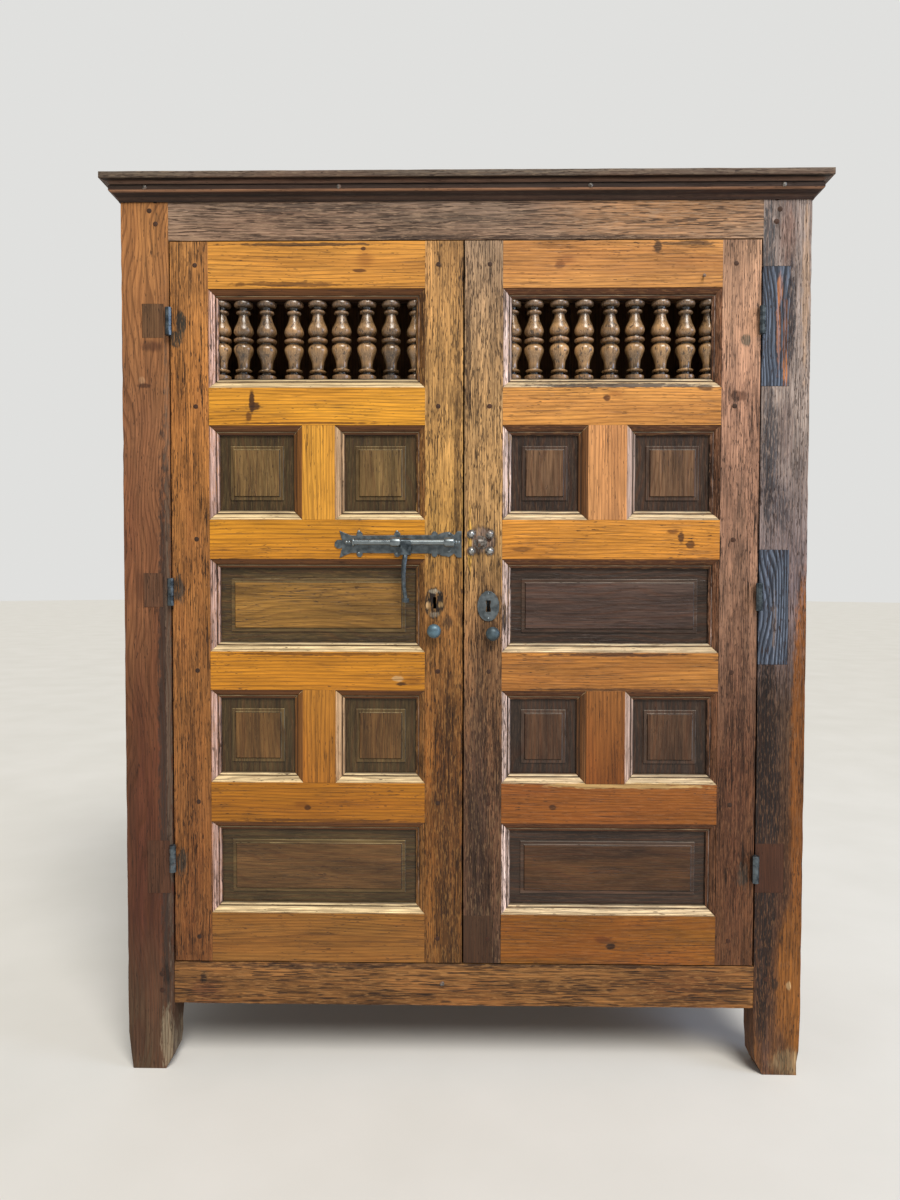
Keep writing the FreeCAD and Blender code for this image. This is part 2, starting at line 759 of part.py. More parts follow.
def stile(side, part):
    """Build a door stile: moulded inner edge, notches and through mortises for the rails."""
    label = f"{WORDS[side]}_{part}_stile"
    hinge_edge, meeting_edge = door_edges(side)
    outer = hinge_edge if part == "hinge" else meeting_edge
    way = -side if part == "hinge" else side
    bevel = ZERO if part == "hinge" else S.closing_bevel
    body = doc.addObject("PartDesign::Body", label)
    section = [(w * way, v) for w, v in member_section(S.stile_face, None, S.groove_front, bevel)]
    pad(body, sketch_on(body, "Section", "XY_Plane", [section]), DOOR_HEIGHT)
    waste = []
    slots = []
    last = len(RAILS) - 1
    for index, ((_, face, _), low) in enumerate(zip(RAILS, RAIL_BOTTOMS)):
        waste.append(crossing_waste(low, low + face, S.stile_face, 1, index > 0, index < last))
        slots.append(rectangle(S.door_tenon_front, low + S.door_tenon_inset,
                               S.door_tenon_front + S.door_tenon_thickness,
                               low + face - S.door_tenon_inset))
    front_cuts = [[(x * way, z) for x, z in loop] for loop in swap(waste)]
    if part == "meeting":
        front_cuts.append(keyhole_slot(side, way))
    cut_through(body, sketch_on(body, "Notches", "XZ_Plane", front_cuts))
    cut_through(body, sketch_on(body, "Mortises", "YZ_Plane", slots))
    holes = [[(x - outer, z - DOOR_FOOT) for x, z in peg_outline(px, pz)]
             for px, pz in door_pegs(side, part)]
    cut_depth(body, sketch_on(body, "PegHoles", "XZ_Plane", holes), DOOR_PEG_LENGTH)
    if side == RIGHT and part == "meeting":
        patch = rectangle(ZERO, ZERO, S.stile_face * STILE_PATCH_SHARES[0],
                          S.foot_rail_face * STILE_PATCH_SHARES[1])
        cut_depth(body, sketch_on(body, "Recess", "XZ_Plane", [patch]), S.patch_depth)
    place(body, outer, FRONT, DOOR_FOOT)
    return keep(body, label)


def keyhole_place(side):
    """Return how far in from the meeting edge and how high a keyhole's middle is."""
    if side == LEFT:
        return S.left_keyhole_inset - S.meeting_gap / 2, LEFT_KEYHOLE_HEIGHT
    return S.right_keyhole_inset - S.meeting_gap / 2, RIGHT_KEYHOLE_HEIGHT


def keyhole_slot(side, way):
    """Return the slot of a keyhole in a stile's own frame."""
    inset, height = keyhole_place(side)
    half = S.keyhole_width / 2
    low = height - S.keyhole_length / 2 - DOOR_FOOT
    return rectangle((inset - half) * way, low, (inset + half) * way, low + S.keyhole_length)


def door_pegs(side, part):
    """Return the X and Z places of the pegs in one stile."""
    hinge_edge, meeting_edge = door_edges(side)
    face_line = S.stile_face - S.peg_inset
    x = hinge_edge - face_line * side if part == "hinge" else meeting_edge + face_line * side
    return [(x, DOOR_FOOT + low + face / 2) for (_, face, _), low in zip(RAILS, RAIL_BOTTOMS)]


def muntin_edges(side):
    """Return the two X edges of a muntin's face, measured from the rails' left end."""
    face = S.left_muntin_face if side == LEFT else S.right_muntin_face
    shift = S.left_muntin_shift if side == LEFT else -S.right_muntin_shift
    start = RAIL_LENGTH / 2 - face / 2 + shift
    return start, start + face


def rails_left_end(side):
    """Return X of the left end of a door's rails, at the shoulder."""
    hinge_edge, meeting_edge = door_edges(side)
    edge = hinge_edge if side == LEFT else meeting_edge
    return edge + S.stile_face


def rail(side, index):
    """Build a door rail with mitred mouldings, through tenons and any muntin mortise."""
    name, face, row = RAILS[index]
    label = f"{WORDS[side]}_{name}"
    grille_groove = S.baluster_depth - S.groove_width / 2
    low_groove = None
    if index > 0:
        low_groove = grille_groove if name == "top_rail" else S.groove_front
    high_groove = None
    if row is not ZERO:
        high_groove = grille_groove if name == "grille_rail" else S.groove_front
    body = doc.addObject("PartDesign::Body", label)
    section = [(v, w) for w, v in member_section(face, low_groove, high_groove)]
    pad(body, sketch_on(body, "Section", "YZ_Plane", [section]), RAIL_LENGTH)
    waste = []
    m0, m1 = muntin_edges(side)
    muntin_above = row is S.small_row
    muntin_below = index > 0 and RAILS[index - 1][2] is S.small_row
    if high_groove is not None:
        waste += end_mitres(RAIL_LENGTH, face, 1)
        if muntin_above:
            waste.append(crossing_waste(m0, m1, face, 1))
    if low_groove is not None:
        waste += end_mitres(RAIL_LENGTH, ZERO, -1)
        if muntin_below:
            waste.append(crossing_waste(m0, m1, ZERO, -1))
    cut_through(body, sketch_on(body, "Mitres", "XZ_Plane", waste))
    inset = S.door_tenon_inset
    tenon = rectangle(S.door_tenon_front, inset, S.door_tenon_front + S.door_tenon_thickness,
                      face - inset)
    for offset in (-S.stile_face, RAIL_LENGTH):
        sketch = sketch_on(body, "Tenon", "YZ_Plane", [tenon], offset=offset)
        pad(body, sketch, S.stile_face)
    mortise = rectangle(m0 + inset, S.door_tenon_front, m1 - inset,
                        S.door_tenon_front + S.door_tenon_thickness)
    if muntin_above:
        sketch = sketch_on(body, "Mortise", "XY_Plane", [mortise], offset=face - S.muntin_tenon)
        cut_through(body, sketch, reverse=True, both_ways=False)
    if muntin_below:
        sketch = sketch_on(body, "Mortise", "XY_Plane", [mortise], offset=S.muntin_tenon)
        cut_through(body, sketch, reverse=False, both_ways=False)
    left_end, foot = rails_left_end(side), DOOR_FOOT + RAIL_BOTTOMS[index]
    spots = [door_pegs(side, part)[index] for part in ("hinge", "meeting")]
    holes = [[(x - left_end, z - foot) for x, z in peg_outline(px, pz)] for px, pz in spots]
    cut_depth(body, sketch_on(body, "PegHoles", "XZ_Plane", holes), DOOR_PEG_LENGTH)
    place(body, left_end, FRONT, foot)
    return keep(body, label)


def muntin(side, index):
    """Build the muntin above a rail, moulded on both edges, with a tenon at each end."""
    body = doc.addObject("PartDesign::Body", "Muntin")
    m0, m1 = muntin_edges(side)
    face = m1 - m0
    groove = S.groove_front
    section = member_section(face, groove, groove)
    height = S.small_row
    pad(body, sketch_on(body, "Section", "XY_Plane", [section]), height)
    waste = end_mitres(height, face, 1) + end_mitres(height, ZERO, -1)
    cut_through(body, sketch_on(body, "Mitres", "XZ_Plane", swap(waste)))
    inset = S.door_tenon_inset
    tenon = rectangle(inset, S.door_tenon_front, face - inset,
                      S.door_tenon_front + S.door_tenon_thickness)
    for offset in (-S.muntin_tenon, height):
        sketch = sketch_on(body, "Tenon", "XY_Plane", [tenon], offset=offset)
        pad(body, sketch, S.muntin_tenon)
    foot = DOOR_FOOT + RAIL_BOTTOMS[index] + RAILS[index][1]
    place(body, rails_left_end(side) + m0, FRONT, foot)
    return body


def panel(x0, x1, z0, z1):
    """Build a panel with a stepped field, given by the outer lines of its mouldings."""
    body = doc.addObject("PartDesign::Body", "Panel")
    reach = S.lip - S.groove_depth + S.panel_play
    low_x, high_x, low_z, high_z = x0 + reach, x1 - reach, z0 + reach, z1 - reach
    outline = rectangle(low_x, low_z, high_x, high_z)
    pad(body, sketch_on(body, "Blank", "XZ_Plane", [outline]), S.groove_width, reverse=True)
    rim = S.lip + S.panel_margin
    bead = rectangle(x0 + rim, z0 + rim, x1 - rim, z1 - rim)
    pad(body, sketch_on(body, "Bead", "XZ_Plane", [bead]), S.panel_bead_rise)
    rim = rim + S.panel_bead
    field = rectangle(x0 + rim, z0 + rim, x1 - rim, z1 - rim)
    raised = pad(body, sketch_on(body, "Field", "XZ_Plane", [field]), S.panel_rise)
    raised.setExpression("TaperAngle", f"-atan({S.panel_step.text} / {S.panel_rise.text})")
    place(body, y=FRONT + S.groove_front)
    return body


def door_panels(side):
    """Build the two wide and four small panels of one door."""
    made = []
    left_end = rails_left_end(side)
    m0, m1 = muntin_edges(side)
    for (_, face, row), low in zip(RAILS, RAIL_BOTTOMS):
        z0 = DOOR_FOOT + low + face
        z1 = z0 + row
        if row is S.wide_row:
            made.append(panel(left_end, left_end + RAIL_LENGTH, z0, z1))
        if row is S.small_row:
            made.append(panel(left_end, left_end + m0, z0, z1))
            made.append(panel(left_end + m1, left_end + RAIL_LENGTH, z0, z1))
    group(f"{WORDS[side]}_panels", made)


def grille(side):
    """Build the turned balusters of one door: whole ones, and a half one against each stile."""
    index = next(n for n, rail_row in enumerate(RAILS) if rail_row[2] is S.grille_row)
    foot = (DOOR_FOOT + RAIL_BOTTOMS[index] + RAILS[index][1] + S.lip).value
    length = (S.grille_row - S.lip * 2).value
    left = (rails_left_end(side) + S.lip).value
    width = (RAIL_LENGTH - S.lip * 2).value
    radius = S.baluster_radius.value
    depth = (FRONT + S.baluster_depth).value
    pin = S.baluster_pin.value
    turned = faceted([(up * length, out * radius) for up, out in BALUSTER_SHARES], TURNED_FLATS)
    tail = length + S.groove_depth.value * 2
    core = Part.makeBox(pin, pin, tail, FreeCAD.Vector(-pin / 2, -pin / 2, (length - tail) / 2))
    whole = turned.fuse(core)
    shares = LEFT_BALUSTER_SHARES if side == LEFT else RIGHT_BALUSTER_SHARES
    made = []
    for share in shares:
        copy = whole.copy()
        copy.translate(FreeCAD.Vector(left + width * share, depth, foot))
        made.append(copy)
    for way, edge in ((1, left), (-1, left + width)):
        corner = FreeCAD.Vector(0 if way > 0 else -radius, -radius, (length - tail) / 2)
        half = whole.common(Part.makeBox(radius, radius * 2, tail, corner))
        half.translate(FreeCAD.Vector(edge, depth, foot))
        made.append(half)
    shape_node(f"{WORDS[side]}_balusters", made)


def hinge_axis(side):
    """Return X and Y of a door's hinge axis."""
    return (OPENING_HALF - S.hinge_gap / 2) * side, FRONT - S.hinge_proud


def hinge_leaf(side, height, to_post):
    """Return one leaf of a butt hinge: plate in the gap, tabs and knuckles on the pin."""
    axis_x, axis_y = (size.value for size in hinge_axis(side))
    length = S.hinge_length.value
    foot = height.value - length / 2
    gap = S.running_gap.value
    third = (length - gap * 2) / 3
    starts = (0, (third + gap) * 2) if to_post else (third + gap,)
    edge = (OPENING_HALF if to_post else OPENING_HALF - S.hinge_gap).value * side
    thick = S.hinge_leaf_thickness.value
    inward = -side if to_post else side
    plate_x = min(edge, edge + thick * inward)
    front = FRONT.value
    solid = Part.makeBox(thick, S.hinge_leaf_width.value, length,
                         FreeCAD.Vector(plate_x, front, foot))
    clear = S.hinge_pin_radius.value + S.pin_fit.value
    if not to_post:
        clear += gap
    bore = clear / math.cos(math.pi / KNUCKLE_FLATS)
    for start in starts:
        tab = Part.makeBox(thick, front - axis_y, third,
                           FreeCAD.Vector(plate_x, axis_y, foot + start))
        knuckle = faceted([(0, S.knuckle_radius.value), (third, S.knuckle_radius.value)],
                          KNUCKLE_FLATS)
        knuckle.translate(FreeCAD.Vector(axis_x, axis_y, foot + start))
        solid = solid.fuse(tab).fuse(knuckle)
    hole = faceted([(-gap, bore), (length + gap, bore)], KNUCKLE_FLATS)
    hole.translate(FreeCAD.Vector(axis_x, axis_y, foot))
    return solid.cut(hole)


def hinges():
    """Build the six butt hinges: leaves on the posts, leaves on the doors, and pins."""
    sides = (LEFT, RIGHT)
    post_leaves = [hinge_leaf(side, height, True) for side in sides for height in HINGES[side]]
    shape_node("hinge_post_leaves", post_leaves)
    for side in sides:
        leaves = [hinge_leaf(side, height, False) for height in HINGES[side]]
        shape_node(f"{WORDS[side]}_hinge_leaves", leaves)
    made = []
    for side in sides:
        axis_x, axis_y = (size.value for size in hinge_axis(side))
        for height in HINGES[side]:
            pin = faceted([(0, S.hinge_pin_radius.value),
                           (S.hinge_length.value, S.hinge_pin_radius.value)], KNUCKLE_FLATS)
            foot = height.value - S.hinge_length.value / 2
            pin.translate(FreeCAD.Vector(axis_x, axis_y, foot))
            made.append(pin)
    shape_node("hinge_pins", made)


def bolt_axis():
    """Return Y and Z of the slide bolt's axis."""
    return FRONT - S.bolt_plate_thickness - S.bolt_axis_rise, BOLT_HEIGHT


def disc(radius, thickness, x, z):
    """Return a flat-sided plate that lies on the doors' face."""
    start = FreeCAD.Vector(x, FRONT.value, z)
    return faceted_along([(0, radius), (thickness, radius)], DISC_FLATS, start, OUTWARD)


def bolt_plate():
    """Build the cut-out iron plate behind the bolt, with its ears and end disc."""
    half = S.bolt_plate_height.value / 2
    length = S.bolt_plate_length.value
    start = -S.bolt_plate_inset.value
    middle = (BOLT_HEIGHT - S.bolt_plate_drop).value
    thickness = S.bolt_plate_thickness.value
    upper = [(start - length * along, middle + half * up) for along, up in PLATE_SHARES]
    lower = [(x, 2 * middle - z) for x, z in reversed(upper)]
    corners = [FreeCAD.Vector(x, FRONT.value, z) for x, z in upper + lower]
    outline = Part.Face(Part.makePolygon(corners + corners[:1]))
    plate = outline.extrude(OUTWARD * thickness)
    ear = half / 3
    for share in EAR_SHARES:
        for way in (1, -1):
            plate = plate.fuse(disc(ear, thickness, start - length * share, middle + half * way))
    end = S.bolt_plate_end_radius.value
    plate = plate.fuse(disc(end, thickness, start - length + end * 0.7, middle))
    shape_node("bolt_plate", [plate.removeSplitter()])


def bolt_staples():
    """Build the two barrel staples that guide the bolt."""
    axis_y, axis_z = (size.value for size in bolt_axis())
    radius = S.staple_radius.value
    length = S.staple_length.value
    rise = S.bolt_axis_rise.value
    made = []
    for inset in (S.inner_staple_inset, S.outer_staple_inset):
        start = FreeCAD.Vector(-inset.value - length / 2, axis_y, axis_z)
        barrel = faceted_along([(0, radius), (length, radius)], IRON_FLATS, start, ACROSS)
        foot = Part.makeBox(length, rise, radius * 1.6, start - FreeCAD.Vector(0, 0, radius * 0.8))
        bore = round_bore(S.running_gap.value, length, start, ACROSS)
        made.append(barrel.fuse(foot).cut(bore))
    shape_node("bolt_staples", made)


def bolt_rod():
    """Build the bolt with its turned ends and flange."""
    axis_y, axis_z = (size.value for size in bolt_axis())
    length = S.bolt_rod_length.value
    radius = S.bolt_rod_radius.value
    start = FreeCAD.Vector(-S.bolt_rod_inset.value - length, axis_y, axis_z)
    profile = [(length * along, radius * out) for along, out in ROD_SHARES]
    ends = faceted_along(profile, IRON_FLATS, start, ACROSS)
    low, high = (length * share for share in ROUND_SHARES)
    shank = Part.makeCylinder(radius, high - low, start + ACROSS * low, ACROSS)
    shape_node("bolt_rod", [ends.fuse(shank)])


def bolt_handle():
    """Build the drop handle: a bored block on the bolt, a bowed bar and a round foot."""
    axis_y, axis_z = (size.value for size in bolt_axis())
    width = S.handle_block_width.value
    middle = -S.handle_inset.value
    left = middle - width / 2
    start = FreeCAD.Vector(left, axis_y, axis_z)
    barrel_radius = S.handle_barrel_radius.value
    barrel = faceted_along([(0, barrel_radius), (width, barrel_radius)], IRON_FLATS, start, ACROSS)
    front = S.handle_block_front.value
    drop = S.handle_block_drop.value
    block = Part.makeBox(width, front * 1.4, drop + front / 4,
                         FreeCAD.Vector(left, axis_y - front, axis_z - drop))
    bore = round_bore(S.running_gap.value, width, start, ACROSS)
    top = axis_z - drop + S.handle_bar_radius.value
    end = axis_z - S.handle_drop.value + S.handle_foot_height.value / 2
    rows = []
    for down, thick, bow in BAR_SHARES:
        rows.append(ring_points(S.handle_bar_radius.value * thick, top + (end - top) * down,
                                DISC_FLATS, middle - S.handle_lean.value * bow,
                                axis_y - front / 4 - S.handle_bow.value * bow))
    foot_radius = S.handle_foot_radius.value
    foot = faceted([(0, foot_radius), (S.handle_foot_height.value, foot_radius)], DISC_FLATS)
    foot.translate(FreeCAD.Vector(middle, axis_y - front / 4, axis_z - S.handle_drop.value))
    shape_node("bolt_handle", [barrel.fuse(block).cut(bore).fuse(loft(rows)).fuse(foot)])


def bolt_keeper():
    """Build the lobed keeper plate with its eye, and the four nails that hold it."""
    axis_y, axis_z = (size.value for size in bolt_axis())
    middle = S.keeper_inset.value
    thickness = S.bolt_plate_thickness.value
    spots = [(middle + S.keeper_width.value / 2 * across, axis_z + S.keeper_height.value / 2 * up)
             for across in (-1, 1) for up in (-1, 1)]
    plate = disc(S.keeper_height.value * 0.42, thickness, middle, axis_z)
    for x, z in spots:
        plate = plate.fuse(disc(S.keeper_lobe_radius.value, thickness, x, z))
    length = S.keeper_eye_length.value
    eye = S.keeper_eye_radius.value
    start = FreeCAD.Vector(middle - length / 2, axis_y, axis_z)
    ring = faceted_along([(0, eye), (length, eye)], IRON_FLATS, start, ACROSS)
    bore = round_bore(S.keeper_eye_clearance.value, length, start, ACROSS)
    shape_node("bolt_keeper", [plate.fuse(ring).cut(bore)])
    nails = []
    for x, z in spots:
        nail = nail_head(S.keeper_nail_radius.value, S.keeper_nail_height.value)
        nail.translate(FreeCAD.Vector(x, FRONT.value - thickness, z))
        nails.append(nail)
    shape_node("keeper_nails", nails)


def escutcheon():
    """Build the oval keyhole plate of the right door."""
    wide, tall = S.escutcheon_width.value / 2, S.escutcheon_height.value / 2
    thickness = S.escutcheon_thickness.value
    centre = FreeCAD.Vector(S.right_keyhole_inset.value, FRONT.value,
                            RIGHT_KEYHOLE_HEIGHT.value)
    turns = [2 * math.pi * flat / OVAL_FLATS for flat in range(OVAL_FLATS)]
    rim = [centre + FreeCAD.Vector(wide * math.cos(a), 0, tall * math.sin(a)) for a in turns]
    plate = Part.Face(Part.makePolygon(rim + rim[:1])).extrude(OUTWARD * thickness)
    width, length = S.keyhole_width.value, S.keyhole_length.value
    slot = Part.makeBox(width, thickness, length,
                        centre + FreeCAD.Vector(-width / 2, -thickness, -length / 2))
    shape_node("escutcheon", [plate.cut(slot)])


def knob(side, height):
    """Build one domed iron knob."""
    start = FreeCAD.Vector((S.knob_inset * side).value, FRONT.value, height.value)
    profile = [(S.knob_reach.value * along, S.knob_radius.value * out) for along, out in KNOB_SHARES]
    shape_node(f"{WORDS[side]}_knob", [faceted_along(profile, IRON_FLATS, start, OUTWARD)])


def cut_boxes(label, solid, tools):
    """Cut boxes out of a box and keep the result as a node."""
    rest = solid
    for tool in tools:
        cut = doc.addObject("Part::Cut", f"{label}Cut")
        cut.Base = rest
        cut.Tool = tool
        rest = cut
    return keep(rest, label)


def rim_lock():
    """Build the lock behind the right keyhole, its sliding bolt, and its box keeper."""
    back = FRONT + S.door_thickness
    x0 = S.lock_case_inset
    z0 = RIGHT_KEYHOLE_HEIGHT - S.lock_case_height / 2
    case = box("LockCase", (x0, back, z0), (x0 + S.lock_case_width, back + S.lock_case_depth,
                                            z0 + S.lock_case_height))
    gap = S.running_gap
    y0 = back + (S.lock_case_depth - S.lock_bolt_thickness) / 2
    y1 = y0 + S.lock_bolt_thickness
    low = RIGHT_KEYHOLE_HEIGHT + S.lock_bolt_rise - S.lock_bolt_height / 2
    high = low + S.lock_bolt_height
    run = box("BoltRun", (x0, y0 - gap, low - gap),
              (x0 + S.lock_bolt_length + gap, y1 + gap, high + gap))
    half = S.keyhole_width / 2
    key_low = RIGHT_KEYHOLE_HEIGHT - S.keyhole_length / 2
    slot = box("KeySlot", (S.right_keyhole_inset - half, back, key_low),
               (S.right_keyhole_inset + half, back + S.lock_case_depth / 2,
                key_low + S.keyhole_length))
    cut_boxes("lock_case", case, [run, slot])
    keep(box("lock_bolt", (x0, y0, low), (x0 + S.lock_bolt_length, y1, high)), "lock_bolt")
    loose = S.lock_keeper_clearance
    wall = S.lock_keeper_wall + loose
    shell = box("KeeperShell", (-x0 - S.lock_keeper_width, back, low - wall),
                (-x0, back + S.lock_case_depth, high + wall))
    socket = box("KeeperSocket", (-x0 - S.lock_keeper_width + S.lock_keeper_wall, y0 - loose,
                                  low - loose), (-x0, y1 + loose, high + loose))
    cut_boxes("lock_keeper", shell, [socket])


def door(side):
    """Build the woodwork of one door."""
    for part in ("hinge", "meeting"):
        stile(side, part)
    for index in range(len(RAILS)):
        rail(side, index)
    muntins = [muntin(side, index) for index, row in enumerate(RAILS) if row[2] is S.small_row]
    group(f"{WORDS[side]}_muntins", muntins)
    door_panels(side)
    grille(side)
    spots = door_pegs(side, "hinge") + door_pegs(side, "meeting")
    pegs(f"{WORDS[side]}_door_pegs", spots, DOOR_PEG_LENGTH)


def stile_patch():
    """Build the repair let into the foot of the right meeting stile, bored for the peg."""
    _, edge = door_edges(RIGHT)
    body = doc.addObject("PartDesign::Body", "right_stile_patch")
    outline = rectangle(edge, DOOR_FOOT, edge + S.stile_face * STILE_PATCH_SHARES[0],
                        DOOR_FOOT + S.foot_rail_face * STILE_PATCH_SHARES[1])
    hole = peg_outline(*door_pegs(RIGHT, "meeting")[0])
    sketch = sketch_on(body, "Outline", "XZ_Plane", [outline, hole])
    pad(body, sketch, S.patch_depth, reverse=True)
    place(body, y=FRONT)
    keep(body, "right_stile_patch")


def build():
    """Build the whole cupboard in order, from the case to the ironwork."""
    case_frame()
    pegs("frame_pegs", post_pegs(LEFT) + post_pegs(RIGHT), FRAME_PEG_LENGTH)
    repairs()
    case_boards()
    cornice()
    for side in (LEFT, RIGHT):
        door(side)
    stile_patch()
    hinges()
    bolt_plate()
    bolt_staples()
    bolt_rod()
    bolt_handle()
    bolt_keeper()
    escutcheon()
    knob(LEFT, LEFT_KEYHOLE_HEIGHT - S.left_knob_drop)
    knob(RIGHT, RIGHT_KEYHOLE_HEIGHT - S.right_knob_drop)
    rim_lock()


def check_and_write():
    """Stop on any failed object or shape, then write one STEP file for each node."""
    doc.recompute()
    for thing in doc.Objects:
        if "Invalid" in thing.State or "Error" in thing.State:
            raise RuntimeError(f"{thing.Label}: {thing.State}")
        if thing.TypeId == "PartDesign::Pocket":
            if thing.Shape.Volume >= thing.BaseFeature.Shape.Volume:
                raise RuntimeError(f"{thing.Label}: the cut removes nothing")
    for node in nodes:
        if node.Shape.isNull() or not node.Shape.isValid():
            raise RuntimeError(f"{node.Label}: no valid shape")
    os.makedirs("parts", exist_ok=True)
    for node in nodes:
        node.Shape.exportStep(os.path.join("parts", f"{node.Label}.step"))
    print(f"{len(nodes)} nodes, {sum(len(node.Shape.Solids) for node in nodes)} solids")


build()
check_and_write()
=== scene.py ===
"""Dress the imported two-door cupboard for its picture.

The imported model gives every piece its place. This script gives each of them a
procedural finish, puts finer pieces in the place of the plain turned, forged
and nailed ones, and sets up the floor, the lights and the camera. Sizes are in
millimetres and turned into metres at the last moment; X runs to the right, Y
to the back and Z up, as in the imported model.
"""
import logging
import math
import random
from dataclasses import dataclass, replace
from enum import Enum

import bpy
from mathutils import Matrix, Vector, noise


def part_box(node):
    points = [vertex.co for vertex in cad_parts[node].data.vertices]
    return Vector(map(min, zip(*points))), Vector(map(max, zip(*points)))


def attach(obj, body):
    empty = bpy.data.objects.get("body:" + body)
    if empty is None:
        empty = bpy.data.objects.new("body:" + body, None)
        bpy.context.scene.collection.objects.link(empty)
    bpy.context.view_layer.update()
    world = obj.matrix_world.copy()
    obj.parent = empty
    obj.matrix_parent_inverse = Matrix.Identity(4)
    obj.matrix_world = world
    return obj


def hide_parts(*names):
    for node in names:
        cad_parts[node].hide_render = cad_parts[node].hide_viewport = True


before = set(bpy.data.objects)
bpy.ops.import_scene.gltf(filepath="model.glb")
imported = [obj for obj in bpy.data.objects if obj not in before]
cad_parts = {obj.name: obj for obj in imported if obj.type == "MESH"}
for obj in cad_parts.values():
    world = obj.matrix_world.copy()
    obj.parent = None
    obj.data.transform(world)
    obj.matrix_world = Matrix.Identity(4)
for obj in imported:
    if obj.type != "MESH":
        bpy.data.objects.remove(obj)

Node = bpy.types.Node
Tree = bpy.types.NodeTree
Socket = bpy.types.NodeSocket
Piece = bpy.types.Object
Point = tuple[float, float, float]
Profile = tuple[tuple[float, float], ...]

LOG = logging.getLogger("cupboard")
MM = 0.001
HALF = 0.5
# Points nearer than this are one, in millimetres.
MERGE = 0.01
# Faces turned by more than this meet in a sharp edge, and by less than that lie in one plane.
SHARP_ANGLE = math.radians(40)
LEVEL_ANGLE = math.radians(0.5)
TURNED_ANGLE = math.radians(48)


class Axis(Enum):
    """The direction of a member's fibres or of a turned piece."""

    X = 0
    Y = 1
    Z = 2


class Body(Enum):
    """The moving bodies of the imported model."""

    CASE = "case"
    LEFT_DOOR = "left_door"
    RIGHT_DOOR = "right_door"
    BOLT = "bolt"
    HANDLE = "bolt_handle"


@dataclass(frozen=True)
class Span:
    """A range of values that is stretched onto another one."""

    low: float
    high: float

    def onto(self, start: float = 0.0, end: float = 1.0) -> dict[str, float]:
        """Return the inputs that map this range onto another one."""
        return {"From Min": self.low, "From Max": self.high, "To Min": start, "To Max": end}


def linear(code: str) -> tuple[float, float, float, float]:
    """Turn an sRGB colour, such as "#a4785a", into the linear one that shaders take."""
    channels = []
    for place in (1, 3, 5):
        value = int(code[place:place + 2], 16) / 255
        channels.append(value / 12.92 if value <= 0.04045 else ((value + 0.055) / 1.055) ** 2.4)
    return (*channels, 1.0)


def add_node(tree: Tree, kind: str, sockets: dict | None = None, links: dict | None = None,
             **settings: object) -> Node:
    """Add one shader node with its settings and links.

    Args:
        tree: the node tree that takes it.
        kind: the node's type without its prefix.
        sockets: values for its inputs, by name or number.
        links: other nodes, for their first output, or outputs for its inputs, by name or number.
        settings: the node's own properties.

    Returns:
        The new node.
    """
    node = tree.nodes.new("ShaderNode" + kind)
    for name, value in settings.items():
        setattr(node, name, value)
    for key, value in (sockets or {}).items():
        node.inputs[key].default_value = value
    for key, source in (links or {}).items():
        output = source.outputs[0] if isinstance(source, Node) else source
        tree.links.new(output, node.inputs[key])
    return node


def set_stops(ramp: Node, stops: list[tuple[float, tuple]]) -> None:
    """Give a colour ramp its stops, each a place from 0 to 1 and a linear colour."""
    elements = ramp.color_ramp.elements
    while len(elements) > 1:
        elements.remove(elements[-1])
    elements[0].position, elements[0].color = stops[0]
    for position, colour in stops[1:]:
        elements.new(position).color = colour


def blank_material(name: str) -> tuple[bpy.types.Material, Node]:
    """Start a material.

    Args:
        name: what the real surface is and how it was made.

    Returns:
        The material, and its only node, which gives the coordinates.
    """
    material = bpy.data.materials.new(name)
    material.use_nodes = True
    material.node_tree.nodes.clear()
    return material, add_node(material.node_tree, "TexCoord")


def select_only(pieces: list[Piece]) -> None:
    """Select some objects and make the first one active."""
    bpy.ops.object.select_all(action="DESELECT")
    for piece in pieces:
        piece.select_set(True)
    bpy.context.view_layer.objects.active = pieces[0]


def metres(point: Point) -> Vector:
    """Turn a point in millimetres into one in metres."""
    return Vector(point) * MM


def islands(node: str) -> list[tuple[Vector, Vector]]:
    """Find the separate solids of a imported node.

    Args:
        node: the node's name.

    Returns:
        The lowest and highest corner of each solid, in millimetres, from left to right.
    """
    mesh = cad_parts[node].data
    places = [tuple(round(value / MM, 2) for value in vertex.co) for vertex in mesh.vertices]
    leader = {place: place for place in places}

    def lead(place: tuple) -> tuple:
        """Return the place that stands for a solid."""
        while leader[place] != place:
            leader[place] = leader[leader[place]]
            place = leader[place]
        return place

    for face in mesh.polygons:
        first = lead(places[face.vertices[0]])
        for corner in face.vertices[1:]:
            leader[lead(places[corner])] = first
    solids: dict[tuple, list[tuple]] = {}
    for place in leader:
        solids.setdefault(lead(place), []).append(place)
    boxes = [(Vector(map(min, *group)), Vector(map(max, *group))) for group in solids.values()]
    return sorted(boxes, key=lambda box: (box[0].x, box[0].z))


@dataclass(frozen=True)
class Wear:
    """How handling has rounded and chewed a piece's edges."""

    round_off: float = 1.2
    steps: int = 2
    cut: float = 0.0
    loss: float = 0.0
    smooth_angle: float = 35.0
    seed: float = 0.0
    broad_cell: float = 28.0
    fine_cell: float = 9.0


